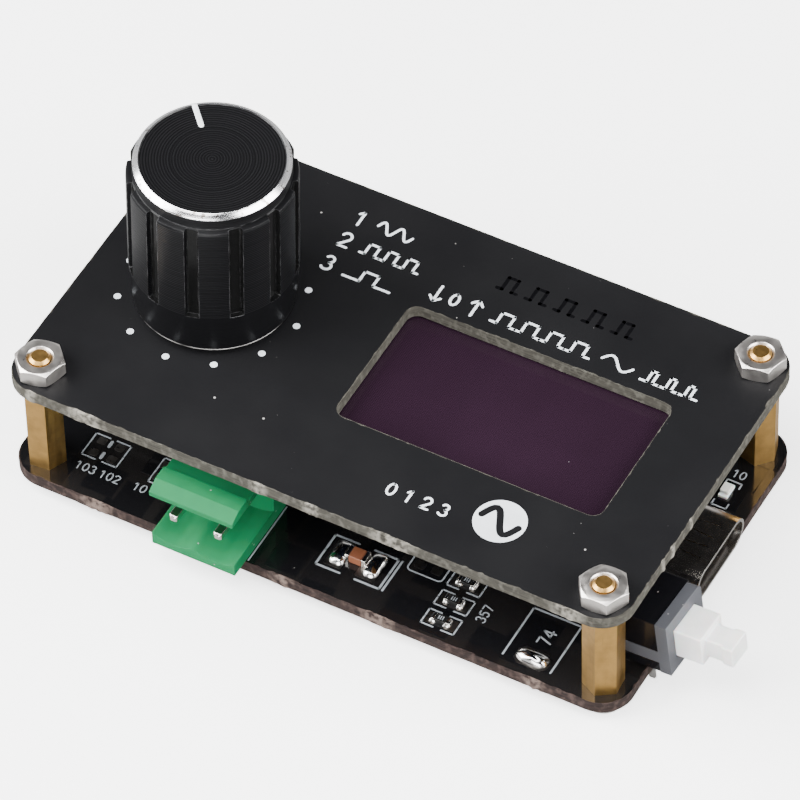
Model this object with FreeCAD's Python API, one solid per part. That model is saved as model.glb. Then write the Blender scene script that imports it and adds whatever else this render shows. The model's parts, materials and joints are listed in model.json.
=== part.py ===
import FreeCAD, Part
import math
import os

# Pocket oscilloscope kit: two black circuit boards held apart by four brass standoffs.
# The front panel carries a display window and a rotary encoder knob. The main board carries
# the encoder, the display module, a two-way probe header, a USB-C socket and a power switch.
# Millimetres, +Z up, +X along the long side towards the USB-C socket, +Y away from the header.
# Everything is drawn about the centre of the boards with Z = 0 at the screw heads, then moved
# at the end so that the origin is the middle of the whole object's footprint.

V = FreeCAD.Vector

# ---------------------------------------------------------------- boards and their fixings
board_length = 60.0
board_width = 34.5
board_corner_radius = 3.0
main_board_thickness = 1.2
panel_thickness = 1.2
hole_inset = 2.65              # corner hole centre from both board edges
board_hole_radius = 1.1
standoff_length = 10.0
standoff_flats = 3.2
standoff_bore_depth = 6.0
standoff_corner_deg = {"front_left": 5.0, "front_right": 34.0, "back_left": 20.0, "back_right": 47.0}
thread_radius = 1.0            # M2
thread_clearance = 0.03        # between a screw or stud and the bore around it
stud_above_nut = 0.2
stud_end_chamfer = 0.25
nut_flats = 4.0
nut_thickness = 1.6
nut_mouth_chamfer = 0.22
nut_crown_inset = 0.05         # flat end face starts this far inside the flats
nut_crown_deg = 30.0
nut_corner_deg = {"front_left": 13.0, "front_right": 3.0, "back_left": 40.0, "back_right": 13.0}
screw_head_radius = 1.9
screw_head_height = 1.3
screw_head_round = 0.35
screw_engagement = 3.5         # thread inside the standoff
screw_slot_width = 0.45
screw_slot_depth = 0.6
screw_slot_length = 2.2

# ---------------------------------------------------------------- rotary encoder
encoder_from_left = 11.37      # shaft axis from the left board edge
encoder_y = -0.13
encoder_lean_deg = 1.7          # soldered with its left side lifted, so the knob leans towards +X
encoder_base_x = 11.6
encoder_base_y = 12.0
encoder_base_height = 6.1
encoder_wall = 1.0
encoder_floor = 2.2
encoder_plate_thickness = 0.5
encoder_plate_gap = 0.02
encoder_tab_width = 2.1
encoder_tab_thickness = 0.5
encoder_bush_radius = 3.5
encoder_bush_top_above_panel = 0.5
encoder_bush_collar_width = 1.1 # of the collar round the thread
encoder_bush_collar_height = 0.6
encoder_terminal_width = 0.8
encoder_terminal_thickness = 0.3
encoder_terminal_pitch = 2.5
encoder_terminal_offset = 1.5  # terminals stand this far outside the base
terminal_reach_below = 0.7     # of every through-hole pin below the main board
terminal_hole_gap = 0.15
encoder_terminal_inset = 0.8    # held by the base's wall
encoder_terminal_height = 1.32  # strip's top above the main board
rotor_notch_count = 20
rotor_notch_radius = 0.35
rotor_thickness = 1.2
rotor_gap = 0.25
shaft_radius = 3.0
shaft_running_clearance = 0.05
shaft_flat_depth = 1.5         # the D flat stands this far in from the shaft's side
shaft_above_plate = 15.0
shaft_flat_runout = 2.0        # the flat starts this far below the knob's core
push_travel = 0.5
push_spare = 0.15
push_dome_radius = 2.3
push_dome_brim_radius = 1.38
push_dome_height = 0.5
push_dome_sheet = 0.12
panel_shaft_hole_gap = 0.6     # round the encoder bush, room for its lean

# ---------------------------------------------------------------- knob
knob_height = 16.8
knob_gap = 0.7                 # above the front panel, before the encoder leans
knob_body_radius = 7.45
knob_skirt_radius = 7.15
knob_skirt_height = 4.4
knob_band_radius = 6.85
knob_band_height = 1.5
knob_step_height = 0.5
knob_ring_width = 0.52
knob_face_recess = 0.12
knob_groove_count = 12
knob_groove_first_deg = 15.0
knob_groove_width = 1.15
knob_groove_radius = 7.0
knob_groove_overcut = 0.5       # of the groove cutter beyond the knob's side
knob_cavity_radius = 6.1
knob_cavity_depth = 3.2
knob_core_radius = 5.2
knob_core_gap = 0.02
knob_roof = 1.9
knob_core_bore_gap = 0.02
pointer_deg = 135.0
pointer_width = 0.55
pointer_inner_radius = 3.9
pointer_depth = 0.35
pointer_gap = 0.01

# ---------------------------------------------------------------- display
window_length = 25.7
window_width = 14.25
window_corner_radius = 1.1
window_from_right = 6.95       # window's right side from the right board edge
window_centre_y = -0.18
display_below_panel = 0.2
film_margin_x = 0.25           # of the film beyond the window, each side
film_margin_y = 0.325
film_thickness = 0.2
glass_margin_x = 0.5           # of both glasses beyond the window, each side
glass_margin_back = 0.405
glass_margin_front = 4.605     # the driver ledge makes the rear glass reach further forwards
glass_thickness = 0.7
driver_ledge = 4.06            # of the rear glass in front of the cover glass
driver_chip_length = 11.0
driver_chip_width = 0.9
driver_chip_thickness = 0.3
module_margin_x = 0.3          # of the module board beyond the glass
module_back_margin = 4.34
module_thickness = 1.2
module_front_margin = 2.4
module_hole_radius = 1.0
module_hole_inset = 2.0
ribbon_width = 12.5
ribbon_thickness = 0.12
ribbon_bond = 0.75              # bonded this far under the glass
ribbon_under_reach = 3.0        # soldered this far under the module board
display_pin_count = 4
header_pitch = 2.54
display_pin_size = 0.64
display_pin_inset = 1.4        # pin row from the module's back edge
display_spacer_width = 2.5
display_spacer_height = 2.5
display_spacer_gap = 0.03

# ---------------------------------------------------------------- probe header
probe_width = 8.2
probe_centre_from_left = 19.85
probe_overhang = 1.85          # past the front board edge
probe_depth = 9.1
probe_base_height = 1.35
probe_opening_height = 4.9
probe_roof_front = 0.5
probe_roof_top = 7.35
probe_roof_land = 1.5          # flat along the top, between bevel and step
probe_bevel_run = 1.2
probe_step = 0.42
probe_back_wall = 2.1
probe_scallop_radius = 3.9
probe_scallop_depth = 0.55
probe_pin_pitch = 4.36
probe_pin_size = 0.8
probe_pin_above_board = 3.6
probe_pin_recess = 0.45        # pin tip behind the front face
probe_pin_taper = 0.2
probe_leg_from_back = 1.0
fixed_fit_gap = 0.02           # round pins and inserts moulded or pressed into plastic

# ---------------------------------------------------------------- USB-C socket
usb_overhang = 0.62
usb_y = 0.87
usb_length = 7.35
usb_width = 8.94
usb_height = 3.2
usb_wall = 0.3
usb_tongue_width = 6.2
usb_tongue_thickness = 0.7
usb_tongue_recess = 0.9
usb_block_length = 2.4
usb_contact_count = 8
usb_contact_pitch = 0.6
usb_contact_width = 0.25
usb_contact_thickness = 0.06
usb_leg_width = 0.9
usb_leg_thickness = 0.3
usb_leg_from_front = (1.7, 5.9)
usb_leg_slot_gap = 0.2
usb_slit_width = 0.12
usb_tab_half_pitch = 1.28
usb_tab_half_width_front = 0.74
usb_tab_half_width_back = 0.48
usb_tab_front = 0.95           # slit's front end from the mouth
usb_tab_length = 3.4

# ---------------------------------------------------------------- power switch
switch_front_overhang = 2.8    # cap's front face past the right board edge
switch_from_standoff = 1.05    # housing's side to the nearest standoff corner
switch_yaw_deg = -3.0
switch_nose_up_deg = 6.5       # hand soldered, so it sits a little nose up
switch_size = 5.8
switch_housing_length = 6.7
switch_housing_wall = 0.6
switch_cap_thickness = 1.1
switch_cap_lip = 0.05          # of the cap beyond the housing all round
switch_cap_corner_chamfer = 0.9
switch_cap_edge_chamfer = 0.45
switch_arm_thickness = 0.35
switch_arm_length = 4.2
switch_arm_height = 1.3
switch_arm_drop = 1.16         # arm's middle below the plunger's axis
plunger_width = 3.55
plunger_height = 3.1
plunger_out = 2.6              # of the block beyond the cap, at rest
plunger_clearance = 0.06
plunger_stem_inside = 3.4
plunger_travel = 2.0
stub_width = 2.6
stub_height = 2.1
stub_length = 2.7
stub_waist = 0.22
stub_waist_length = 1.5
switch_spring_wire = 0.25
switch_spring_radius = 0.7
switch_spring_bore_gap = 0.25   # round the coil, because it stays level while the plunger slides on a slant
switch_spring_turns = 4
switch_spring_sides = 8
switch_spring_gap = 0.05
switch_pin_pitch = 2.0
switch_pin_row_half = 2.25
switch_pin_width = 0.6
switch_pin_thickness = 0.3
switch_pin_first = 1.35        # first pin from the housing's back
switch_pin_inside = 1.93       # pin top above the main board, inside the housing
contact_strip_thickness = 0.25
contact_strip_length = 2.0
contact_strip_inset = 0.6      # from the stem's sides and back

# ---------------------------------------------------------------- parts soldered to the main board
micro_size = 10.0
micro_thickness = 1.4
micro_standoff = 0.1
micro_leads_per_side = 11
micro_lead_pitch = 0.8
micro_lead_width = 0.35
lead_thickness = 0.15
lead_reach = 1.0
lead_foot = 0.5                # flat on the board
lead_knee = 0.35               # level stretch beside the body
micro_place = (-0.2, 1.5)       # places of hidden parts: x from the display's centre, y from the boards'
amplifier_length = 4.9
amplifier_width = 3.9
amplifier_thickness = 1.45
amplifier_places = ((-16.6, 6.0), (-16.6, -2.0))
amplifier_leads_per_side = 4
amplifier_lead_pitch = 1.27
amplifier_lead_width = 0.42
regulator_length = 2.9
regulator_width = 1.6
regulator_thickness = 1.1
regulator_places = ((10.1, 9.0), (10.1, 13.2))
regulator_leads_per_side = 3
regulator_lead_pitch = 0.95
regulator_lead_width = 0.4
inductor_size = 4.0
inductor_height = 2.1
inductor_place = (-11.8, 13.0)
inductor_corner_radius = 0.5
chip_length = 1.6
chip_width = 0.8
resistor_thickness = 0.45
capacitor_thickness = 0.8
chip_end = 0.3
visible_resistor_from_right = 17.95
visible_resistor_from_front = 2.0
visible_resistor_pitch = 2.37
visible_resistor_count = 3
hidden_resistors = ((-9.7, 8.6), (-9.7, 6.6), (-9.7, 4.6), (-9.7, -3.0), (-9.7, -5.0), (8.7, 1.0), (8.7, -1.0),
                    (-19.2, 14.5), (-22.7, 14.5))
hidden_capacitors = ((-7.0, 9.2), (6.4, 9.0), (6.4, 7.0), (-7.3, -6.0), (7.4, -4.0), (-19.2, 11.8),
                     (-22.7, 11.8), (12.8, 6.6))
input_capacitor_from_front = 4.72
input_capacitor_from_left = 32.45
input_capacitor_length = 2.0
input_capacitor_width = 1.25
input_capacitor_thickness = 0.85
input_capacitor_end = 0.4
big_pad_length = 1.6
big_pad_width = 2.7
big_pad_pitch = 3.25
solder_height = 0.62
solder_slope_run = 0.42        # level run of a mound's sloping sides
spare_pad_from_right = 9.05    # solder-covered pad of an unfitted capacitor
spare_pad_from_front = 1.9
spare_pad_length = 2.9
spare_pad_width = 1.5
lamp_from_right = 2.93
lamp_y = 9.05
lamp_length = 1.6
lamp_width = 0.85
lamp_base_thickness = 0.25
lamp_dome_thickness = 0.4
lamp_dome_length = 1.0

# ---------------------------------------------------------------- heights and places that follow
main_bottom = screw_head_height
main_top = main_bottom + main_board_thickness
panel_bottom = main_top + standoff_length
panel_top = panel_bottom + panel_thickness
pin_bottom = main_bottom - terminal_reach_below
left = -board_length / 2
right = board_length / 2
front = -board_width / 2
back = board_width / 2
encoder_x = left + encoder_from_left
switch_y = front + hole_inset + standoff_flats / math.sqrt(3) + switch_from_standoff + switch_size / 2
window_x = right - window_from_right - window_length / 2
probe_x = left + probe_centre_from_left
probe_front = front - probe_overhang
encoder_plate_bottom = main_top + encoder_base_height + encoder_plate_gap
encoder_plate_top = encoder_plate_bottom + encoder_plate_thickness
encoder_bush_top = panel_top + encoder_bush_top_above_panel
knob_bottom = panel_top + knob_gap
knob_top = knob_bottom + knob_height
shaft_top = encoder_plate_top + shaft_above_plate
shaft_bottom = main_top + encoder_floor + push_dome_height + push_travel + push_spare
display_top = panel_bottom - display_below_panel
glass_top = display_top - film_thickness
cover_glass_top = glass_top - glass_thickness
module_top = cover_glass_top - glass_thickness
module_bottom = module_top - module_thickness
film_length = window_length + 2 * film_margin_x
film_width = window_width + 2 * film_margin_y
glass_length = window_length + 2 * glass_margin_x
glass_front = window_centre_y - window_width / 2 - glass_margin_front
glass_back = window_centre_y + window_width / 2 + glass_margin_back
module_length = glass_length + 2 * module_margin_x
module_front = glass_front - module_front_margin
module_back = glass_back + module_back_margin
display_pin_y = module_back - display_pin_inset
corners = {
    "front_left": (left + hole_inset, front + hole_inset),
    "front_right": (right - hole_inset, front + hole_inset),
    "back_left": (left + hole_inset, back - hole_inset),
    "back_right": (right - hole_inset, back - hole_inset),
}


# ---------------------------------------------------------------- shape helpers
def block(x0, y0, z0, x1, y1, z1):
    """Box between two opposite corners."""
    return Part.makeBox(x1 - x0, y1 - y0, z1 - z0, V(x0, y0, z0))


def centred_block(x, y, z, size_x, size_y, size_z):
    """Box standing at height z with its plan centred on x, y."""
    return block(x - size_x / 2, y - size_y / 2, z, x + size_x / 2, y + size_y / 2, z + size_z)


def post(x, y, z0, z1, radius):
    """Upright cylinder from z0 to z1."""
    return Part.makeCylinder(radius, z1 - z0, V(x, y, z0))


def rounded_plate(x, y, length, width, radius, z0, z1):
    """Flat plate with rounded upright corners, centred on x, y."""
    plate = centred_block(x, y, z0, length, width, z1 - z0)
    upright = [e for e in plate.Edges if abs(e.Vertexes[0].Z - e.Vertexes[1].Z) > (z1 - z0) / 2]
    return plate.makeFillet(radius, upright)


def hexagon(x, y, flats, corner_deg, z0, z1):
    """Upright hexagonal prism; one corner points corner_deg from +X."""
    reach = flats / math.sqrt(3)
    angles = [math.radians(corner_deg + 60 * i) for i in range(6)]
    ring = [V(x + reach * math.cos(a), y + reach * math.sin(a), z0) for a in angles]
    return Part.Face(Part.makePolygon(ring + ring[:1])).extrude(V(0, 0, z1 - z0))


def revolved(x, y, outline):
    """Solid of revolution about an upright axis; outline holds (radius, height) points."""
    points = [V(x + r, y, z) for r, z in outline]
    return Part.Face(Part.makePolygon(points + points[:1])).revolve(V(x, y, 0), V(0, 0, 1), 360)


def prism_along_x(x0, x1, outline):
    """Prism whose section is a list of (y, z) points."""
    points = [V(x0, y, z) for y, z in outline]
    return Part.Face(Part.makePolygon(points + points[:1])).extrude(V(x1 - x0, 0, 0))


def prism_along_y(y0, y1, outline):
    """Prism whose section is a list of (x, z) points."""
    points = [V(x, y0, z) for x, z in outline]
    return Part.Face(Part.makePolygon(points + points[:1])).extrude(V(0, y1 - y0, 0))


def stadium_along_x(x0, x1, y, z, width, height):
    """Bar with a stadium section (flat top and bottom, round sides), centred on y, z."""
    radius = height / 2
    reach = width / 2 - radius
    middle = block(x0, y - reach, z - radius, x1, y + reach, z + radius)
    ends = [Part.makeCylinder(radius, x1 - x0, V(x0, y + side * reach, z), V(1, 0, 0)) for side in (-1, 1)]
    return middle.fuse(ends).removeSplitter()


def gull_lead(reach, width, stand, top):
    """One bent lead along +X: out of the body at height top, down, and flat on the board."""
    t = lead_thickness
    foot = lead_foot
    knee = lead_knee
    outline = [(0, top), (knee, top), (reach - foot, t), (reach, t), (reach, 0), (reach - foot - t, 0),
               (knee - t, top - t), (0, top - t)]
    lead = prism_along_y(-width / 2, width / 2, outline)
    lead.translate(V(0, 0, stand))
    return lead


def lead_rows(x, y, body_width, count, pitch, width, top, quarter_turns):
    """Leads on both long sides of a flat package, with the rows turned by quarter turns."""
    leads = []
    for side in (0, 180):
        for i in range(count):
            lead = gull_lead(lead_reach, width, 0, top)
            lead.translate(V(body_width / 2, (i - (count - 1) / 2) * pitch, 0))
            lead.rotate(V(0, 0, 0), V(0, 0, 1), side + 90 * quarter_turns)
            lead.translate(V(x, y, main_top))
            leads.append(lead)
    return leads


def moved(shape, vector):
    """Copy of a shape, shifted."""
    copy = shape.copy()
    copy.translate(vector)
    return copy


# ---------------------------------------------------------------- boards
def through_pins():
    """Plan places of every round pin hole of the main board, as (x, y, hole radius)."""
    holes = []
    radius = display_pin_size / math.sqrt(2) + terminal_hole_gap
    for x in display_pin_places():
        holes.append((x, display_pin_y, radius))
    radius = math.hypot(encoder_terminal_width, encoder_terminal_thickness) / 2 + terminal_hole_gap
    for x, y in encoder_terminal_places():
        holes.append((x, y, radius))
    radius = probe_pin_size / math.sqrt(2) + terminal_hole_gap
    for x in probe_pin_places():
        holes.append((x, probe_leg_y(), radius))
    radius = math.hypot(switch_pin_width, switch_pin_thickness) / 2 + terminal_hole_gap
    for place in switch_pin_places():
        spot = switch_frame().multVec(V(place[0], place[1], -main_board_thickness / 2))
        holes.append((spot.x, spot.y, radius))
    return holes


def make_main_board():
    board = rounded_plate(0, 0, board_length, board_width, board_corner_radius, main_bottom, main_top)
    cuts = [post(x, y, main_bottom, main_top, board_hole_radius) for x, y in corners.values()]
    cuts += [post(x, y, main_bottom, main_top, r) for x, y, r in through_pins()]
    cuts += usb_leg_slots() + encoder_tab_slots()
    return board.cut(cuts)


def make_front_panel():
    panel = rounded_plate(0, 0, board_length, board_width, board_corner_radius, panel_bottom, panel_top)
    cuts = [post(x, y, panel_bottom, panel_top, board_hole_radius) for x, y in corners.values()]
    cuts.append(post(encoder_x, encoder_y, panel_bottom, panel_top, encoder_bush_radius + panel_shaft_hole_gap))
    cuts.append(rounded_plate(window_x, window_centre_y, window_length, window_width, window_corner_radius,
                              panel_bottom, panel_top))
    return panel.cut(cuts)


def make_standoffs():
    pieces = []
    stud_end = panel_top + nut_thickness + stud_above_nut
    for name, (x, y) in corners.items():
        barrel = hexagon(x, y, standoff_flats, standoff_corner_deg[name], main_top, panel_bottom)
        bore = post(x, y, main_top, main_top + standoff_bore_depth, thread_radius)
        stud_radius = thread_radius - thread_clearance
        stud = revolved(x, y, [(0, panel_bottom), (stud_radius, panel_bottom),
                               (stud_radius, stud_end - stud_end_chamfer),
                               (stud_radius - stud_end_chamfer, stud_end), (0, stud_end)])
        pieces.append(barrel.cut(bore).fuse(stud).removeSplitter())
    return pieces


def make_panel_nuts():
    pieces = []
    top = panel_top + nut_thickness
    corner_reach = nut_flats / math.sqrt(3)
    crown = nut_flats / 2 - nut_crown_inset
    for name, (x, y) in corners.items():
        nut = hexagon(x, y, nut_flats, nut_corner_deg[name], panel_top, top)
        drop = (corner_reach - crown) * math.tan(math.radians(nut_crown_deg))
        turned = revolved(x, y, [(0, panel_top), (crown, panel_top), (corner_reach, panel_top + drop),
                                 (corner_reach, top - drop), (crown, top), (0, top)])
        mouth = thread_radius + nut_mouth_chamfer
        bore = revolved(x, y, [(0, panel_top), (mouth, panel_top),
                               (thread_radius, panel_top + nut_mouth_chamfer),
                               (thread_radius, top - nut_mouth_chamfer), (mouth, top), (0, top)])
        pieces.append(nut.common(turned).cut(bore))
    return pieces


def make_board_screws():
    pieces = []
    shank_radius = thread_radius - thread_clearance
    for x, y in corners.values():
        screw = revolved(x, y, [(0, 0), (screw_head_radius - screw_head_round, 0),
                                (screw_head_radius, screw_head_round), (screw_head_radius, screw_head_height),
                                (shank_radius, screw_head_height), (shank_radius, main_top + screw_engagement),
                                (0, main_top + screw_engagement)])
        cross = [centred_block(x, y, 0, screw_slot_length, screw_slot_width, screw_slot_depth),
                 centred_block(x, y, 0, screw_slot_width, screw_slot_length, screw_slot_depth)]
        pieces.append(screw.cut(cross))
    return pieces


# ---------------------------------------------------------------- encoder
def encoder_frame():
    """Turn about the base's lower right edge, from the upright drawing to the leaning encoder."""
    turn = FreeCAD.Rotation(V(0, 1, 0), encoder_lean_deg)
    return FreeCAD.Placement(V(0, 0, 0), turn, V(encoder_x + encoder_base_x / 2, encoder_y, main_top))


def leaned(result):
    """Copy of a piece, or of a list of pieces, in the leaning encoder's place."""
    if isinstance(result, list):
        return [leaned(piece) for piece in result]
    placed = result.copy()
    placed.Placement = encoder_frame().multiply(placed.Placement)
    return placed


def encoder_terminal_places():
    """Three contacts in front of the base, two switch contacts behind it."""
    row = encoder_base_y / 2 + encoder_terminal_offset
    places = [(encoder_x + i * encoder_terminal_pitch, encoder_y - row) for i in (-1, 0, 1)]
    places += [(encoder_x + i * encoder_terminal_pitch, encoder_y + row) for i in (-1, 1)]
    return places


def make_encoder_base():
    base = centred_block(encoder_x, encoder_y, main_top, encoder_base_x, encoder_base_y, encoder_base_height)
    cavity_radius = encoder_base_x / 2 - encoder_wall
    cavity = post(encoder_x, encoder_y, main_top + encoder_floor, main_top + encoder_base_height, cavity_radius)
    return base.cut([cavity] + make_encoder_terminals(fixed_fit_gap))


def make_encoder_terminals(grown=0.0):
    """Each terminal is a strip that leaves the base sideways and turns down through the board."""
    pieces = []
    half = encoder_terminal_width / 2 + grown
    strip_top = main_top + encoder_terminal_height
    for x, y in encoder_terminal_places():
        side = 1 if y > encoder_y else -1
        wall = encoder_y + side * encoder_base_y / 2
        inner = wall - side * encoder_terminal_inset
        outer = y + side * (encoder_terminal_thickness / 2)
        y0, y1 = sorted((inner - side * grown, outer))
        strip = block(x - half, y0, strip_top - encoder_terminal_thickness - grown, x + half, y1,
                      strip_top + grown)
        y0, y1 = sorted((y - side * encoder_terminal_thickness / 2, outer))
        leg = block(x - half, y0, pin_bottom, x + half, y1, strip_top)
        pieces.append(strip.fuse(leg).removeSplitter() if grown == 0 else strip)
    return pieces


def encoder_tab_boxes(grown):
    """The two legs of the metal plate, down both sides of the base and through the board."""
    boxes = []
    for side in (-1, 1):
        inner = encoder_x + side * (encoder_base_x / 2 + encoder_plate_gap - grown)
        outer = inner + side * (encoder_tab_thickness + 2 * grown)
        x0, x1 = sorted((inner, outer))
        half = encoder_tab_width / 2 + grown
        boxes.append((x0, encoder_y - half, x1, encoder_y + half))
    return boxes


def encoder_tab_slots():
    return [block(x0, y0, main_bottom, x1, y1, main_top) for x0, y0, x1, y1 in
            encoder_tab_boxes(terminal_hole_gap)]


def make_encoder_plate():
    reach = encoder_base_x + 2 * (encoder_plate_gap + encoder_tab_thickness)
    plate = centred_block(encoder_x, encoder_y, encoder_plate_bottom, reach, encoder_base_y,
                          encoder_plate_thickness)
    legs = [block(x0, y0, pin_bottom, x1, y1, encoder_plate_top) for x0, y0, x1, y1 in encoder_tab_boxes(0)]
    hole = post(encoder_x, encoder_y, encoder_plate_bottom, encoder_plate_top,
                shaft_radius + shaft_running_clearance)
    return plate.fuse(legs).removeSplitter().cut(hole)


def make_encoder_bush():
    """Threaded neck: a collar on the plate and a plain-drawn M7 thread up through the panel."""
    inner = shaft_radius + shaft_running_clearance
    thread_bottom = encoder_plate_top
    collar_radius = encoder_bush_radius + encoder_bush_collar_width
    return revolved(encoder_x, encoder_y, [
        (inner, thread_bottom), (collar_radius, thread_bottom),
        (collar_radius, thread_bottom + encoder_bush_collar_height),
        (encoder_bush_radius, thread_bottom + encoder_bush_collar_height),
        (encoder_bush_radius, encoder_bush_top), (inner, encoder_bush_top)])


def shaft_section(x, y, z0, z1, radius, flat_depth):
    """Round bar with one flat facing +X, flat_depth in from its side."""
    bar = post(x, y, z0, z1, radius)
    flat_x = x + radius - flat_depth
    return bar.cut(block(flat_x, y - radius, z0, x + radius, y + radius, z1))


def make_encoder_shaft():
    flat_bottom = knob_bottom + knob_cavity_depth - shaft_flat_runout
    upper = shaft_section(encoder_x, encoder_y, flat_bottom, shaft_top, shaft_radius, shaft_flat_depth)
    middle = post(encoder_x, encoder_y, rotor_top() + rotor_gap + push_travel, flat_bottom, shaft_radius)
    lower = shaft_section(encoder_x, encoder_y, shaft_bottom, rotor_top() + rotor_gap + push_travel,
                          shaft_radius - shaft_flat_depth / 2, shaft_flat_depth / 2)
    return upper.fuse([middle, lower]).removeSplitter()


def rotor_top():
    return encoder_plate_bottom - rotor_gap - push_travel - rotor_gap


def make_encoder_rotor():
    """Detent disc that turns with the shaft while the shaft slides through it."""
    rim = encoder_base_x / 2 - encoder_wall - rotor_gap
    bottom = rotor_top() - rotor_thickness
    disc = post(encoder_x, encoder_y, bottom, rotor_top(), rim)
    bore = shaft_section(encoder_x, encoder_y, bottom, rotor_top(),
                         shaft_radius - shaft_flat_depth / 2 + shaft_running_clearance, shaft_flat_depth / 2)
    notches = []
    for i in range(rotor_notch_count):
        angle = math.radians(360 / rotor_notch_count * i)
        x = encoder_x + rim * math.cos(angle)
        y = encoder_y + rim * math.sin(angle)
        notches.append(post(x, y, bottom, rotor_top(), rotor_notch_radius))
    return disc.cut([bore] + notches)


def make_push_dome():
    """Snap dome on the cavity floor, pressed by the shaft's end."""
    floor = main_top + encoder_floor
    top = floor + push_dome_height
    brim = push_dome_brim_radius
    sheet = push_dome_sheet
    return revolved(encoder_x, encoder_y, [
        (0, top), (brim, top - sheet), (push_dome_radius, floor), (push_dome_radius - sheet, floor),
        (brim - sheet, top - 2 * sheet), (0, top - sheet)])


# ---------------------------------------------------------------- knob
def make_knob_shell():
    ring_outer = knob_top - knob_ring_width
    panels_top = ring_outer - knob_band_height
    face_radius = knob_band_radius - knob_ring_width
    face = knob_top - knob_face_recess
    core_top = knob_top - knob_roof
    shell = revolved(encoder_x, encoder_y, [
        (0, core_top), (knob_core_radius, core_top), (knob_core_radius, knob_bottom + knob_cavity_depth),
        (knob_cavity_radius, knob_bottom + knob_cavity_depth), (knob_cavity_radius, knob_bottom),
        (knob_skirt_radius, knob_bottom), (knob_body_radius, knob_bottom + knob_skirt_height),
        (knob_body_radius, panels_top - knob_step_height), (knob_band_radius, panels_top),
        (knob_band_radius, ring_outer), (face_radius, knob_top), (face_radius - knob_face_recess, face),
        (0, face)])
    cuts = []
    for i in range(knob_groove_count):
        groove = block(knob_groove_radius, -knob_groove_width / 2, knob_bottom + knob_skirt_height,
                       knob_body_radius + knob_groove_overcut, knob_groove_width / 2, panels_top)
        groove.rotate(V(0, 0, 0), V(0, 0, 1), knob_groove_first_deg + 360 / knob_groove_count * i)
        groove.translate(V(encoder_x, encoder_y, 0))
        cuts.append(groove)
    return shell.cut(cuts + [pointer_bar(pointer_gap)])


def pointer_bar(grown):
    """Straight bar in the knob's face, cut off by the bright ring's outer edge."""
    floor = knob_top - knob_face_recess - pointer_depth - grown
    bar = block(pointer_inner_radius - grown, -pointer_width / 2 - grown, floor,
                knob_band_radius + knob_ring_width, pointer_width / 2 + grown, knob_top + grown)
    bar.rotate(V(0, 0, 0), V(0, 0, 1), pointer_deg)
    bar.translate(V(encoder_x, encoder_y, 0))
    return bar


def make_knob_pointer():
    """White paint fill of the pointer groove, level with the knob's face and ring."""
    face_radius = knob_band_radius - knob_ring_width
    face = knob_top - knob_face_recess
    envelope = revolved(encoder_x, encoder_y, [
        (0, face - 2 * pointer_depth), (knob_band_radius, face - 2 * pointer_depth),
        (knob_band_radius, knob_top - knob_ring_width), (face_radius, knob_top),
        (face_radius - knob_face_recess, face), (0, face)])
    return pointer_bar(0).common(envelope)


def make_knob_core():
    """Plastic sleeve pressed into the shell, with a D-shaped hole for the shaft."""
    bottom = knob_bottom + knob_cavity_depth
    top = knob_top - knob_roof - fixed_fit_gap
    sleeve = post(encoder_x, encoder_y, bottom, top, knob_core_radius - knob_core_gap)
    bore_top = shaft_top + push_spare
    bore = shaft_section(encoder_x, encoder_y, bottom, bore_top, shaft_radius + knob_core_bore_gap,
                         shaft_flat_depth - knob_core_bore_gap)
    return sleeve.cut(bore)


# ---------------------------------------------------------------- display
def display_pin_places():
    first = window_x - (display_pin_count - 1) / 2 * header_pitch
    return [first + i * header_pitch for i in range(display_pin_count)]


def make_display_film():
    return centred_block(window_x, window_centre_y, glass_top, film_length, film_width, film_thickness)


def make_display_glass():
    return block(window_x - glass_length / 2, glass_front, cover_glass_top, window_x + glass_length / 2,
                 glass_back, glass_top)


def make_display_cover_glass():
    return block(window_x - glass_length / 2, glass_front + driver_ledge, module_top,
                 window_x + glass_length / 2, glass_back, cover_glass_top)


def make_display_driver():
    bottom = cover_glass_top - driver_chip_thickness
    return centred_block(window_x, glass_front + driver_ledge / 2, bottom, driver_chip_length, driver_chip_width,
                         driver_chip_thickness)


def make_display_ribbon():
    """Flat ribbon bonded under the glass ledge, bowing forwards and back to the module's rear side."""
    start = glass_front + ribbon_bond
    upper = cover_glass_top
    lower = module_bottom
    middle = (upper + lower) / 2
    outer = (upper - lower) / 2
    bend_y = min(glass_front, module_front) - fixed_fit_gap
    half = ribbon_width / 2
    x0 = window_x - half
    tube = Part.makeCylinder(outer, ribbon_width, V(x0, bend_y, middle), V(1, 0, 0))
    hollow = Part.makeCylinder(outer - ribbon_thickness, ribbon_width, V(x0, bend_y, middle), V(1, 0, 0))
    x1 = x0 + ribbon_width
    keep = block(x0, bend_y - outer, lower - ribbon_thickness, x1, bend_y, upper + ribbon_thickness)
    bow = tube.cut(hollow).common(keep)
    top_strip = block(x0, bend_y, upper - ribbon_thickness, x1, start, upper)
    under_end = module_front + ribbon_under_reach
    under_strip = block(x0, bend_y, lower - ribbon_thickness, x1, under_end, lower)
    lip = block(x0, bend_y - ribbon_thickness, lower - ribbon_thickness, x1, bend_y, lower + ribbon_thickness)
    return bow.fuse([top_strip, under_strip, lip]).removeSplitter()


def make_display_module():
    board = block(window_x - module_length / 2, module_front, module_bottom, window_x + module_length / 2,
                  module_back, module_top)
    cuts = []
    for side_x in (-1, 1):
        for y in (module_front + module_hole_inset, module_back - module_hole_inset):
            x = window_x + side_x * (module_length / 2 - module_hole_inset)
            cuts.append(post(x, y, module_bottom, module_top, module_hole_radius))
    radius = display_pin_size / math.sqrt(2) + fixed_fit_gap
    cuts += [post(x, display_pin_y, module_bottom, module_top, radius) for x in display_pin_places()]
    return board.cut(cuts)


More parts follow.
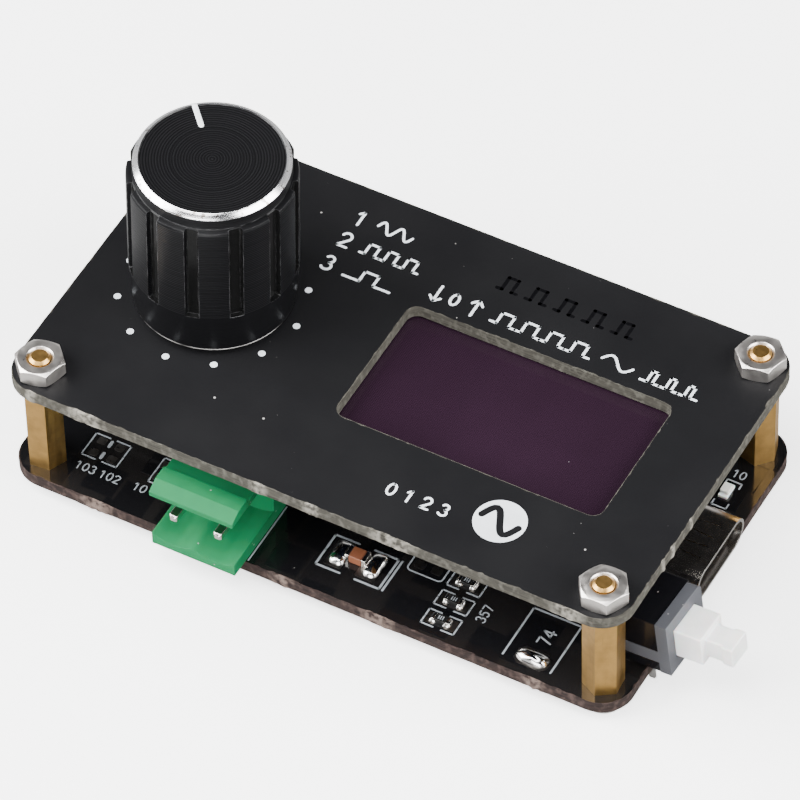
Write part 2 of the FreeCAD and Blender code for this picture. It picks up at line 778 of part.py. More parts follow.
def make_display_pins():
    top = module_top + display_pin_size
    return [centred_block(x, display_pin_y, pin_bottom, display_pin_size, display_pin_size, top - pin_bottom)
            for x in display_pin_places()]


def make_display_spacer():
    bottom = module_bottom - display_spacer_height
    length = display_pin_count * header_pitch
    strip = centred_block(window_x, display_pin_y, bottom, length, display_spacer_width, display_spacer_height)
    size = display_pin_size + 2 * display_spacer_gap
    return strip.cut([centred_block(x, display_pin_y, bottom, size, size, display_spacer_height)
                      for x in display_pin_places()])


# ---------------------------------------------------------------- probe header
def probe_pin_places():
    return [probe_x - probe_pin_pitch / 2, probe_x + probe_pin_pitch / 2]


def probe_leg_y():
    return probe_front + probe_depth - probe_leg_from_back


def make_probe_pins(grown=0.0):
    """Square pins that run back through the header's rear wall and turn down through the board."""
    pieces = []
    half = probe_pin_size / 2 + grown
    tip = probe_front + probe_pin_recess
    height = main_top + probe_pin_above_board
    for x in probe_pin_places():
        bar = block(x - half, tip + probe_pin_taper, height - half, x + half, probe_leg_y() + half,
                    height + half)
        small = half - probe_pin_taper
        near = Part.makePolygon([V(x - half, tip + probe_pin_taper, height - half),
                                 V(x + half, tip + probe_pin_taper, height - half),
                                 V(x + half, tip + probe_pin_taper, height + half),
                                 V(x - half, tip + probe_pin_taper, height + half),
                                 V(x - half, tip + probe_pin_taper, height - half)])
        far = Part.makePolygon([V(x - small, tip, height - small), V(x + small, tip, height - small),
                                V(x + small, tip, height + small), V(x - small, tip, height + small),
                                V(x - small, tip, height - small)])
        point = Part.makeLoft([near, far], True)
        leg = block(x - half, probe_leg_y() - half, pin_bottom, x + half, probe_leg_y() + half, height + half)
        pieces.append(bar.fuse([point, leg]).removeSplitter())
    return pieces


def make_probe_header():
    """Open-ended green housing: a floor with two hollows for the plug, a back wall and a bevelled roof."""
    floor = main_top
    rear = probe_front + probe_depth
    roof_bottom = floor + probe_base_height + probe_opening_height
    roof_top = floor + probe_roof_top
    cavity_back = rear - probe_back_wall
    step_y = probe_front + probe_bevel_run + probe_roof_land
    outline = [(probe_front, floor), (rear, floor), (rear, roof_top - probe_step),
               (step_y, roof_top - probe_step), (step_y, roof_top), (probe_front + probe_bevel_run, roof_top),
               (probe_front, roof_bottom + probe_roof_front), (probe_front, roof_bottom),
               (cavity_back, roof_bottom), (cavity_back, floor + probe_base_height),
               (probe_front, floor + probe_base_height)]
    body = prism_along_x(probe_x - probe_width / 2, probe_x + probe_width / 2, outline)
    axis_height = floor + probe_base_height + probe_scallop_radius - probe_scallop_depth
    scallop_length = cavity_back - probe_front
    scallops = [Part.makeCylinder(probe_scallop_radius, scallop_length,
                                  V(x, probe_front, axis_height), V(0, 1, 0))
                for x in (probe_x - probe_width / 4, probe_x + probe_width / 4)]
    keep_low = block(probe_x - probe_width / 2, probe_front, floor, probe_x + probe_width / 2, cavity_back,
                     floor + probe_base_height)
    hollows = [scallop.common(keep_low) for scallop in scallops]
    return body.cut(hollows + make_probe_pins(fixed_fit_gap))


# ---------------------------------------------------------------- USB-C socket
def usb_front():
    return right + usb_overhang


def usb_leg_boxes(grown):
    boxes = []
    for from_front in usb_leg_from_front:
        for side in (-1, 1):
            x = usb_front() - from_front
            y = usb_y + side * (usb_width / 2 - usb_leg_thickness / 2)
            half_x = usb_leg_width / 2 + grown
            half_y = usb_leg_thickness / 2 + grown
            boxes.append((x - half_x, y - half_y, x + half_x, y + half_y))
    return boxes


def usb_leg_slots():
    return [block(x0, y0, main_bottom, x1, y1, main_top) for x0, y0, x1, y1 in usb_leg_boxes(usb_leg_slot_gap)]


def usb_slits():
    """Narrow cuts that free two spring tabs in the top of the shell."""
    cuts = []
    mouth = usb_front() - usb_tab_front
    rear = mouth - usb_tab_length
    top = main_top + usb_height
    for tab in (-1, 1):
        for side in (-1, 1):
            y_front = usb_y + tab * usb_tab_half_pitch + side * usb_tab_half_width_front
            y_back = usb_y + tab * usb_tab_half_pitch + side * usb_tab_half_width_back
            half = usb_slit_width / 2
            points = [V(mouth, y_front - half, top), V(mouth, y_front + half, top), V(rear, y_back + half, top),
                      V(rear, y_back - half, top)]
            face = Part.Face(Part.makePolygon(points + points[:1]))
            cuts.append(face.extrude(V(0, 0, -usb_wall)))
    return cuts


def make_usb_shell():
    x0 = usb_front() - usb_length
    x1 = usb_front()
    middle = main_top + usb_height / 2
    outer = stadium_along_x(x0, x1, usb_y, middle, usb_width, usb_height)
    inner = stadium_along_x(x0, x1, usb_y, middle, usb_width - 2 * usb_wall, usb_height - 2 * usb_wall)
    legs = [block(a, b, pin_bottom, c, d, middle) for a, b, c, d in usb_leg_boxes(0)]
    return outer.fuse(legs).removeSplitter().cut([inner] + usb_slits())


def make_usb_tongue():
    """Black moulding: a block that fills the shell's rear and the thin tongue in its mouth."""
    x0 = usb_front() - usb_length
    middle = main_top + usb_height / 2
    inset = 2 * (usb_wall + fixed_fit_gap)
    fill = stadium_along_x(x0, x0 + usb_block_length, usb_y, middle, usb_width - inset, usb_height - inset)
    half_y = usb_tongue_width / 2
    half_z = usb_tongue_thickness / 2
    tongue = block(x0 + usb_block_length, usb_y - half_y, middle - half_z, usb_front() - usb_tongue_recess,
                   usb_y + half_y, middle + half_z)
    return fill.fuse(tongue).removeSplitter()


def make_usb_contacts():
    x0 = usb_front() - usb_length + usb_block_length
    x1 = usb_front() - usb_tongue_recess - usb_contact_pitch
    middle = main_top + usb_height / 2
    strips = []
    for side in (-1, 1):
        face = middle + side * usb_tongue_thickness / 2
        z0, z1 = sorted((face, face + side * usb_contact_thickness))
        for i in range(usb_contact_count):
            y = usb_y + (i - (usb_contact_count - 1) / 2) * usb_contact_pitch
            strips.append(block(x0, y - usb_contact_width / 2, z0, x1, y + usb_contact_width / 2, z1))
    return strips


# ---------------------------------------------------------------- power switch
def switch_frame():
    """From the switch's own frame (back lower edge at the origin, plunger along +X) to the boards' frame."""
    yaw = FreeCAD.Rotation(V(0, 0, 1), switch_yaw_deg)
    turn = yaw.multiply(FreeCAD.Rotation(V(0, 1, 0), -switch_nose_up_deg))
    length = switch_housing_length + switch_cap_thickness
    return FreeCAD.Placement(V(right + switch_front_overhang - length, switch_y, main_top), turn)


def set_in_place(shape):
    placed = shape.copy()
    placed.Placement = switch_frame().multiply(placed.Placement)
    return placed


def switch_axis_height():
    return switch_size / 2


def switch_arm_bottom():
    return switch_axis_height() - switch_arm_drop - switch_arm_height / 2


def switch_pin_places():
    return [(switch_pin_first + i * switch_pin_pitch, side * switch_pin_row_half) for side in (-1, 1)
            for i in range(3)]


def plunger_back():
    """Back of the plunger's stem at rest, leaving room for its travel and the spring."""
    return switch_housing_length - plunger_stem_inside


def make_switch_housing():
    half = switch_size / 2
    housing = block(0, -half, 0, switch_housing_length, half, switch_size)
    w = switch_housing_wall
    cavity = block(w, -plunger_width / 2 - plunger_clearance, w, switch_housing_length,
                   plunger_width / 2 + plunger_clearance, switch_size - w)
    seat_z0 = switch_arm_bottom()
    seats = [block(switch_housing_length - switch_arm_length, side * half - switch_arm_thickness,
                   seat_z0 - fixed_fit_gap, switch_housing_length, side * half + switch_arm_thickness,
                   seat_z0 + switch_arm_height + fixed_fit_gap) for side in (-1, 1)]
    return set_in_place(housing.cut([cavity] + seats + switch_pin_blanks(fixed_fit_gap)))


def make_switch_cap():
    """Grey front cap with two arms that clip along the housing's sides."""
    x0 = switch_housing_length
    x1 = x0 + switch_cap_thickness
    half = switch_size / 2 + switch_cap_lip
    high = switch_size + switch_cap_lip
    cut = switch_cap_corner_chamfer
    edge = switch_cap_edge_chamfer
    outline = [(-half, 0), (half - cut, 0), (half, cut), (half, high - edge), (half - edge, high),
               (-half, high)]
    cap = prism_along_x(x0, x1, outline)
    gap = plunger_clearance
    mid = switch_axis_height()
    hole = block(x0, -plunger_width / 2 - gap, mid - plunger_height / 2 - gap, x1, plunger_width / 2 + gap,
                 mid + plunger_height / 2 + gap)
    arm_z0 = switch_arm_bottom()
    arms = []
    for side in (-1, 1):
        inner_face = switch_size / 2 - switch_arm_thickness + fixed_fit_gap
        y0, y1 = sorted((side * switch_size / 2, side * inner_face))
        arm_end = x0 - switch_arm_length + fixed_fit_gap
        arms.append(block(arm_end, y0, arm_z0, x0, y1, arm_z0 + switch_arm_height))
    return set_in_place(cap.cut(hole).fuse(arms).removeSplitter())


def make_switch_plunger():
    """Square stem and block, then a narrower waisted stub that takes a button cap."""
    mid = switch_axis_height()
    block_end = switch_housing_length + switch_cap_thickness + plunger_out
    stem = block(plunger_back(), -plunger_width / 2, mid - plunger_height / 2, block_end, plunger_width / 2,
                 mid + plunger_height / 2)
    bore_radius = switch_spring_radius + switch_spring_wire + switch_spring_bore_gap
    bore = Part.makeCylinder(bore_radius, plunger_travel,
                             V(plunger_back(), 0, mid), V(1, 0, 0))
    stub_end = block_end + stub_length
    waist_end = block_end + stub_waist_length
    flare = stub_waist
    half = stub_width / 2
    points = [V(block_end, -half + flare, 0), V(waist_end, -half + flare, 0), V(waist_end + flare, -half, 0),
              V(stub_end, -half, 0), V(stub_end, half, 0), V(waist_end + flare, half, 0),
              V(waist_end, half - flare, 0), V(block_end, half - flare, 0)]
    stub = Part.Face(Part.makePolygon(points + points[:1])).extrude(V(0, 0, stub_height))
    stub.translate(V(0, 0, mid - stub_height / 2))
    return set_in_place(stem.cut(bore).fuse(stub).removeSplitter())


def make_switch_spring():
    """Coil spring between the housing's back wall and the plunger's bore.

    Its wire is drawn as an octagon with the round wire's area, square to the helix.
    """
    start = switch_housing_wall + switch_spring_wire / 2 + switch_spring_gap
    end = plunger_back() + plunger_travel - switch_spring_wire / 2 - switch_spring_gap
    pitch = (end - start) / switch_spring_turns
    climb = math.atan2(pitch, 2 * math.pi * switch_spring_radius)
    step = 2 * math.pi / switch_spring_sides
    reach = switch_spring_wire / 2 * math.sqrt(step / math.sin(step))
    ring = [V(switch_spring_radius + reach * math.cos(step * i), -reach * math.sin(step * i) * math.sin(climb),
              reach * math.sin(step * i) * math.cos(climb)) for i in range(switch_spring_sides)]
    section = Part.makePolygon(ring + ring[:1])
    coil = Part.makeHelix(pitch, end - start, switch_spring_radius)
    body = Part.Wire(coil.Edges).makePipeShell([section], True, True)
    body.rotate(V(0, 0, 0), V(0, 1, 0), 90)
    body.translate(V(start, 0, switch_axis_height()))
    return set_in_place(body)


def switch_pin_blanks(grown):
    """The six pins, from inside the housing's floor down through the board."""
    blanks = []
    bottom = -main_board_thickness - terminal_reach_below
    for x, y in switch_pin_places():
        half_x = switch_pin_width / 2 + grown
        half_y = switch_pin_thickness / 2 + grown
        blanks.append(block(x - half_x, y - half_y, bottom, x + half_x, y + half_y, switch_pin_inside + grown))
    return blanks


def make_switch_pins():
    return [set_in_place(pin) for pin in switch_pin_blanks(0)]


def make_switch_contact():
    """Contact strip carried under the plunger's stem."""
    top = switch_axis_height() - plunger_height / 2
    bottom = top - contact_strip_thickness
    x0 = plunger_back() + contact_strip_inset
    half = plunger_width / 2 - contact_strip_inset
    strip = block(x0, -half, bottom, x0 + contact_strip_length, half, top)
    return set_in_place(strip)


# ---------------------------------------------------------------- parts soldered to the main board
def under_display(places):
    """Plan places in the boards' frame, from places given from the display's centre."""
    return [(window_x + x, y) for x, y in places]


def make_microcontroller():
    x, y = under_display([micro_place])[0]
    return centred_block(x, y, main_top + micro_standoff, micro_size, micro_size, micro_thickness)


def make_microcontroller_leads():
    x, y = under_display([micro_place])[0]
    top = micro_thickness / 2 + micro_standoff
    leads = []
    for quarter in (0, 1):
        leads += lead_rows(x, y, micro_size, micro_leads_per_side, micro_lead_pitch, micro_lead_width, top,
                           quarter)
    return leads


def make_amplifiers():
    bottom = main_top + micro_standoff
    return [centred_block(x, y, bottom, amplifier_width, amplifier_length, amplifier_thickness)
            for x, y in under_display(amplifier_places)]


def make_amplifier_leads():
    leads = []
    for x, y in under_display(amplifier_places):
        leads += lead_rows(x, y, amplifier_width, amplifier_leads_per_side, amplifier_lead_pitch,
                           amplifier_lead_width, amplifier_thickness / 2 + micro_standoff, 0)
    return leads


def make_regulators():
    bottom = main_top + micro_standoff
    return [centred_block(x, y, bottom, regulator_width, regulator_length, regulator_thickness)
            for x, y in under_display(regulator_places)]


def make_regulator_leads():
    leads = []
    for x, y in under_display(regulator_places):
        leads += lead_rows(x, y, regulator_width, regulator_leads_per_side, regulator_lead_pitch,
                           regulator_lead_width, regulator_thickness / 2 + micro_standoff, 0)
    return leads


def make_inductor():
    x, y = under_display([inductor_place])[0]
    return rounded_plate(x, y, inductor_size, inductor_size, inductor_corner_radius,
                         main_top, main_top + inductor_height)


def resistor_places():
    x = right - visible_resistor_from_right
    first = front + visible_resistor_from_front
    return [(x, first + i * visible_resistor_pitch) for i in range(visible_resistor_count)] + \
        under_display(hidden_resistors)


def chip_bodies(places, length, width, thickness, end):
    return [centred_block(x, y, main_top, length - 2 * end, width, thickness) for x, y in places]


def chip_ends(places, length, width, thickness, end):
    pieces = []
    for x, y in places:
        for side in (-1, 1):
            pieces.append(centred_block(x + side * (length - end) / 2, y, main_top, end, width, thickness))
    return pieces


def input_capacitor_place():
    return (left + input_capacitor_from_left, front + input_capacitor_from_front)


def mound(x, y, length, width, height):
    """Low solder mound with a flat crown and sloping sides."""
    top_length = length - 2 * solder_slope_run
    top_width = width - 2 * solder_slope_run
    low = [V(x - length / 2, y - width / 2, main_top), V(x + length / 2, y - width / 2, main_top),
           V(x + length / 2, y + width / 2, main_top), V(x - length / 2, y + width / 2, main_top)]
    high = [V(x - top_length / 2, y - top_width / 2, main_top + height),
            V(x + top_length / 2, y - top_width / 2, main_top + height),
            V(x + top_length / 2, y + top_width / 2, main_top + height),
            V(x - top_length / 2, y + top_width / 2, main_top + height)]
    return Part.makeLoft([Part.makePolygon(low + low[:1]), Part.makePolygon(high + high[:1])], True)


def make_solder_mounds():
    x, y = input_capacitor_place()
    ends = [mound(x + side * big_pad_pitch / 2, y, big_pad_length, big_pad_width, solder_height)
            for side in (-1, 1)]
    keep_out = centred_block(x, y, main_top, input_capacitor_length, input_capacitor_width,
                             input_capacitor_thickness)
    pieces = [end.cut(keep_out) for end in ends]
    pieces.append(mound(right - spare_pad_from_right, front + spare_pad_from_front, spare_pad_length,
                        spare_pad_width, solder_height))
    return pieces


def lamp_x():
    return right - lamp_from_right


def make_lamp_base():
    return centred_block(lamp_x(), lamp_y, main_top, lamp_width, lamp_length, lamp_base_thickness)


def make_lamp_lens():
    return centred_block(lamp_x(), lamp_y, main_top + lamp_base_thickness, lamp_width, lamp_dome_length,
                         lamp_dome_thickness)


# ---------------------------------------------------------------- the whole object
def as_shape(result):
    return Part.makeCompound(result) if isinstance(result, list) else result


def build_nodes():
    capacitor = input_capacitor_place()
    hidden = under_display(hidden_capacitors)
    return {
        "main_board": make_main_board(),
        "front_panel": make_front_panel(),
        "standoffs": make_standoffs(),
        "panel_nuts": make_panel_nuts(),
        "board_screws": make_board_screws(),
        "encoder_base": leaned(make_encoder_base()),
        "encoder_terminals": leaned(make_encoder_terminals()),
        "encoder_plate": leaned(make_encoder_plate()),
        "encoder_bush": leaned(make_encoder_bush()),
        "encoder_push_dome": leaned(make_push_dome()),
        "encoder_rotor": leaned(make_encoder_rotor()),
        "encoder_shaft": leaned(make_encoder_shaft()),
        "knob_core": leaned(make_knob_core()),
        "knob_shell": leaned(make_knob_shell()),
        "knob_pointer": leaned(make_knob_pointer()),
        "display_film": make_display_film(),
        "display_glass": make_display_glass(),
        "display_cover_glass": make_display_cover_glass(),
        "display_driver": make_display_driver(),
        "display_ribbon": make_display_ribbon(),
        "display_module": make_display_module(),
        "display_pins": make_display_pins(),
        "display_spacer": make_display_spacer(),
        "probe_header": make_probe_header(),
        "probe_pins": make_probe_pins(),
        "usb_shell": make_usb_shell(),
        "usb_tongue": make_usb_tongue(),
        "usb_contacts": make_usb_contacts(),
        "switch_housing": make_switch_housing(),
        "switch_cap": make_switch_cap(),
        "switch_plunger": make_switch_plunger(),
        "switch_contact": make_switch_contact(),
        "switch_spring": make_switch_spring(),
        "switch_pins": make_switch_pins(),
        "microcontroller": make_microcontroller(),
        "microcontroller_leads": make_microcontroller_leads(),
        "amplifiers": make_amplifiers(),
        "amplifier_leads": make_amplifier_leads(),
        "regulators": make_regulators(),
        "regulator_leads": make_regulator_leads(),
        "inductor": make_inductor(),
        "resistor_bodies": chip_bodies(resistor_places(), chip_length, chip_width, resistor_thickness, chip_end),
        "resistor_ends": chip_ends(resistor_places(), chip_length, chip_width, resistor_thickness, chip_end),
        "capacitor_bodies": chip_bodies(hidden, chip_length, chip_width, capacitor_thickness, chip_end),
        "capacitor_ends": chip_ends(hidden, chip_length, chip_width, capacitor_thickness, chip_end),
        "input_capacitor": chip_bodies([capacitor], input_capacitor_length, input_capacitor_width,
                                       input_capacitor_thickness, input_capacitor_end),
        "input_capacitor_ends": chip_ends([capacitor], input_capacitor_length, input_capacitor_width,
                                          input_capacitor_thickness, input_capacitor_end),
        "solder_mounds": make_solder_mounds(),
        "lamp_base": make_lamp_base(),
        "lamp_lens": make_lamp_lens(),
    }


def print_places(shift):
    """Places of the joints, mouths and feet in the finished frame."""
    reach = switch_housing_length + switch_cap_thickness + plunger_out + stub_length
    stub_end = V(reach, 0, switch_axis_height())
    foot_x, foot_y = corners["front_left"]
    places = {
        "knob axis": encoder_frame().multVec(V(encoder_x, encoder_y, panel_top)),
        "plunger tip": switch_frame().multVec(stub_end),
        "usb mouth": V(usb_front(), usb_y, main_top + usb_height / 2),
        "header mouth": V(probe_x, probe_front, main_top + probe_pin_above_board),
        "screw head": V(foot_x, foot_y, 0),
        "window centre": V(window_x, window_centre_y, display_top),
    }
    print("shift", shift)
    for name, place in places.items():
        print(name, place + shift)
    print("plunger direction", switch_frame().Rotation.multVec(V(-1, 0, 0)))
    print("knob direction", encoder_frame().Rotation.multVec(V(0, 0, 1)))


def main():
    os.makedirs("parts", exist_ok=True)
    nodes = {name: as_shape(result) for name, result in build_nodes().items()}
    box = Part.makeCompound(list(nodes.values())).BoundBox
    shift = V(-box.Center.x, -box.Center.y, -box.ZMin)
    for name, shape in nodes.items():
        shape.translate(shift)
        shape.exportStep("parts/" + name + ".step")
        print(name, len(shape.Solids), "solids, valid", shape.isValid(), round(shape.Volume, 3), "mm3")
    print("size", round(box.XLength, 3), round(box.YLength, 3), round(box.ZLength, 3))
    print_places(shift)


main()
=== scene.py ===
# %% [markdown]
# # A pocket oscilloscope kit
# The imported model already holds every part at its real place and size. This lesson gives those
# parts their finishes, replaces the ones whose charm is in small shapes (the knob, the solder,
# the small chips) and adds what a drawing leaves out: printed marks, rough board edges, dust.
# Everything is in metres, so a helper value turns millimetres into metres.

# %% Load the fixed frame
import json
import math

import bmesh
import bpy
import numpy as np
from mathutils import Matrix, Vector


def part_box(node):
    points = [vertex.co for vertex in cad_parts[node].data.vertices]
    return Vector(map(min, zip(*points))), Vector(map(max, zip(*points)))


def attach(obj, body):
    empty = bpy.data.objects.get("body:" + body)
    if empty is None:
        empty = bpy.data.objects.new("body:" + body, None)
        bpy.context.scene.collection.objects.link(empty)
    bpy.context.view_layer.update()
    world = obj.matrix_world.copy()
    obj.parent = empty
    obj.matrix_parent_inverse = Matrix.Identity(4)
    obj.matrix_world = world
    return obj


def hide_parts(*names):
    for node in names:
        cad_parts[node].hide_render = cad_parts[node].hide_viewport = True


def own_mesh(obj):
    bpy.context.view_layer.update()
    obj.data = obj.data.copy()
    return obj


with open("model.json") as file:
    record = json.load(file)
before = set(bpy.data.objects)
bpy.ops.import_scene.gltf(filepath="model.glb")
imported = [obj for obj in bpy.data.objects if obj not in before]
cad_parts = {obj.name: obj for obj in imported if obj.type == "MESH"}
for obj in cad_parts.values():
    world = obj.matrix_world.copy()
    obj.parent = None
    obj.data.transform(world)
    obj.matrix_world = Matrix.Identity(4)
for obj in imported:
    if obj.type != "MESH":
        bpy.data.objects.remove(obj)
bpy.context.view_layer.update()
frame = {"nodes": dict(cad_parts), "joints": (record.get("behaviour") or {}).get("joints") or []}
MM = 0.001


# %% [markdown]
# ## Where things are
# Nothing is placed by eye. Each node's box gives the heights and centres that the new pieces
# need, and the joints give the directions of the parts that slide or turn.

# %% Places taken from the frame
def box(node_name):
    """Lowest and highest corner of a node, as numpy arrays."""
    low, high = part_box(node_name)
    return np.array(low), np.array(high)


panel_low, panel_high = box("front_panel")
main_low, main_high = box("main_board")
board_centre = (main_low + main_high)[:2] / 2
panel_top = panel_high[2]
main_top = main_high[2]
film_low, film_high = box("display_film")
joints = {joint["name"]: joint for joint in frame["joints"]}


def on_board(x, y):
    """Place on a board, from millimetres right of and behind the boards' centre."""
    return board_centre + np.array([x, y]) * MM


def at_height(flat, level):
    """Points in space from flat points and their common height."""
    return np.column_stack([flat, np.full(len(flat), level)])


print("panel top", panel_top, "board top", main_top)

# %% [markdown]
# ## The camera
# A long lens far away gives a nearly parallel look.

# %% Camera
camera_azimuth = math.radians(29.73)
camera_height = math.radians(48.65)
camera_roll = math.radians(-1.58)
camera_distance = 631.66 * MM
target_below_panel = 2.665 * MM
slide_right, slide_up = -0.07 * MM, -1.075 * MM
camera_target = Vector((board_centre[0], board_centre[1], panel_top - target_below_panel))


def direction(azimuth, height):
    """Unit vector away from the object; azimuth 0 points to the front, height 0 is level."""
    return Vector((math.sin(azimuth) * math.cos(height), -math.cos(azimuth) * math.cos(height),
                   math.sin(height)))


back = direction(camera_azimuth, camera_height)
level_right = Vector((math.cos(camera_azimuth), math.sin(camera_azimuth), 0))
level_up = back.cross(level_right)
right = level_right * math.cos(camera_roll) + level_up * math.sin(camera_roll)
up = level_up * math.cos(camera_roll) - level_right * math.sin(camera_roll)

camera_data = bpy.data.cameras.new("camera")
camera_data.sensor_width = 36.0
camera_data.lens = 329.0
camera_data.clip_start = 0.05
camera_data.clip_end = 20.0
camera = bpy.data.objects.new("camera", camera_data)
bpy.context.scene.collection.objects.link(camera)
spot = camera_target + right * slide_right + up * slide_up + back * camera_distance
camera.matrix_world = Matrix.Translation(spot) @ Matrix((right, up, back)).transposed().to_4x4()
bpy.context.scene.camera = camera
print("camera at", [round(value, 4) for value in spot])


# %% [markdown]
# ## Short ways to write node trees
# A material is a small program of nodes. With these helpers a node is one call, and its inputs
# are numbers, colours or the outputs of other nodes.

# %% Node helpers
def node(tree, kind, inputs=None, **settings):
    """New node; inputs maps a socket's name or number to a value or to another node's output."""
    made = tree.nodes.new(kind)
    for key, value in settings.items():
        setattr(made, key, value)
    for key, value in (inputs or {}).items():
        if isinstance(value, bpy.types.NodeSocket):
            tree.links.new(value, made.inputs[key])
        else:
            made.inputs[key].default_value = value
    return made


def maths(tree, operation, first, second=0.0):
    """Output of one Math node."""
    return node(tree, "ShaderNodeMath", {0: first, 1: second}, operation=operation).outputs[0]


def mixed(tree, factor, first, second):
    """Colour between two colours or colour outputs."""
    first = first if isinstance(first, bpy.types.NodeSocket) else (*first, 1)
    second = second if isinstance(second, bpy.types.NodeSocket) else (*second, 1)
    return node(tree, "ShaderNodeMix", {0: factor, 6: first, 7: second}, data_type="RGBA").outputs[2]


def ranged(tree, value, low, high, to_low=0.0, to_high=1.0):
    """Value mapped from low…high to to_low…to_high, held inside the range."""
    sockets = {"Value": value, "From Min": low, "From Max": high, "To Min": to_low, "To Max": to_high}
    return node(tree, "ShaderNodeMapRange", sockets).outputs["Result"]


def feed(shader, **sources):
    """Links outputs to a shader's sockets, given by socket name with _ for a space."""
    for label, source in sources.items():
        shader.id_data.links.new(source, shader.inputs[label.replace("_", " ")])


def new_finish(name, colour, roughness, metallic=0.0, **plain):
    """Material with a Principled shader; plain gives constant values by socket name, _ for a space."""
    material = bpy.data.materials.new(name)
    material.use_nodes = True
    tree = material.node_tree
    shader = tree.nodes["Principled BSDF"]
    shader.inputs["Base Color"].default_value = (*colour, 1)
    shader.inputs["Roughness"].default_value = roughness
    shader.inputs["Metallic"].default_value = metallic
    for label, value in plain.items():
        shader.inputs[label.replace("_", " ")].default_value = value
    return material, tree, shader, node(tree, "ShaderNodeTexCoord").outputs["Object"]


# %% [markdown]
# ## Floor and light
# The floor is a plain pale sheet that glows a little, like a light table, so the ground stays
# nearly white. A Light Path node lets only the camera see that glow: the object itself is lit by
# the lamps alone and keeps its own darks. Seen from below the floor is clear, so that the
# underside can be looked at. Black lacquer shows what it mirrors, so the room above and behind
# is dark, and soft lights stand left, right and in front.

# %% Floor
floor_half = 4.0
grey_seen, grey_unseen, glow_seen = 0.86, 0.20, 1.8
floor_mesh = bpy.data.meshes.new("floor")
floor_mesh.from_pydata([(x * floor_half, y * floor_half, 0) for x, y in ((-1, -1), (1, -1), (1, 1), (-1, 1))],
                       [], [(0, 1, 2, 3)])
floor = bpy.data.objects.new("floor", floor_mesh)
bpy.context.scene.collection.objects.link(floor)
floor_material, tree, shader, place = new_finish("pale_floor", (1, 1, 1), 0.7, Emission_Color=(1, 1, 1, 1))
seen = node(tree, "ShaderNodeLightPath").outputs["Is Camera Ray"]
below = node(tree, "ShaderNodeNewGeometry").outputs["Backfacing"]
feed(shader, Base_Color=mixed(tree, seen, (grey_unseen,) * 3, (grey_seen,) * 3),
     Emission_Strength=maths(tree, "MULTIPLY", seen, glow_seen), Alpha=maths(tree, "SUBTRACT", 1.0, below))
floor.data.materials.append(floor_material)

# %% Lights: name, azimuth and height angle in degrees, size in metres, power in watts
light_distance = 0.45
for name, azimuth_deg, height_deg, size, power in (("left_light", -62, 32, 0.40, 9.0),
                                                   ("right_light", 95, 30, 0.40, 7.0),
                                                   ("front_light", 12, 14, 0.30, 3.0),
                                                   ("top_light", -10, 72, 0.25, 2.5)):
    away = direction(math.radians(azimuth_deg), math.radians(height_deg))
    lamp = bpy.data.lights.new(name, "AREA")
    lamp.size = size
    lamp.energy = power
    light = bpy.data.objects.new(name, lamp)
    bpy.context.scene.collection.objects.link(light)
    light.location = camera_target + away * light_distance
    light.rotation_euler = away.to_track_quat("Z", "Y").to_euler()

# %% World: pale near the ground, dark above
world = bpy.data.worlds.new("studio")
bpy.context.scene.world = world
world.use_nodes = True
sky = world.node_tree
sky_place = node(sky, "ShaderNodeTexCoord").outputs["Generated"]
sky_split = node(sky, "ShaderNodeSeparateXYZ", {"Vector": sky_place})
sky_ramp = node(sky, "ShaderNodeValToRGB", {"Fac": sky_split.outputs["Z"]})
sky.links.new(sky_ramp.outputs["Color"], sky.nodes["Background"].inputs["Color"])
pale_stop, dark_stop = sky_ramp.color_ramp.elements
pale_stop.position, pale_stop.color = 0.08, (1, 1, 1, 1)
dark_stop.position, dark_stop.color = 0.55, (0.06, 0.06, 0.065, 1)

# %% [markdown]
# ## Effects that several finishes share
# Grain, dust, drawn lines and edge wear with its painted highlight turn up again and again, so each is one
# shader group. A group gives out only a mask or a value; each material keeps its own shader and decides what
# the value does. Patterns read Object coordinates in metres, so a scale of 1000 makes a detail about
# a millimetre wide.

# %% Groups
def new_group(name, inputs, output):
    """Empty shader group with a Vector input, the named numbers and one number out."""
    group = bpy.data.node_groups.new(name, "ShaderNodeTree")
    group.interface.new_socket(name="Vector", in_out="INPUT", socket_type="NodeSocketVector")
    for label, value in inputs.items():
        socket = group.interface.new_socket(name=label, in_out="INPUT", socket_type="NodeSocketFloat")
        socket.default_value = value
    group.interface.new_socket(name=output, in_out="OUTPUT", socket_type="NodeSocketFloat")
    source = group.nodes.new("NodeGroupInput")
    sink = group.nodes.new("NodeGroupOutput")
    return group, source.outputs, sink.inputs[output]


def use(tree, group, vector, **numbers):
    """Output of a shared group placed in a material's tree; _ stands for a space in an input's name."""
    placed = node(tree, "ShaderNodeGroup", node_tree=group)
    tree.links.new(vector, placed.inputs["Vector"])
    for label, value in numbers.items():
        placed.inputs[label.replace("_", " ")].default_value = value
    return placed.outputs[0]


# %% Grain: fractal noise
grain_group, given, result = new_group("grain", {"Scale": 1000.0, "Detail": 3.0}, "Value")
grain_noise = node(grain_group, "ShaderNodeTexNoise",
                   {label: given[label] for label in ("Vector", "Scale", "Detail")})
grain_group.links.new(grain_noise.outputs["Fac"], result)

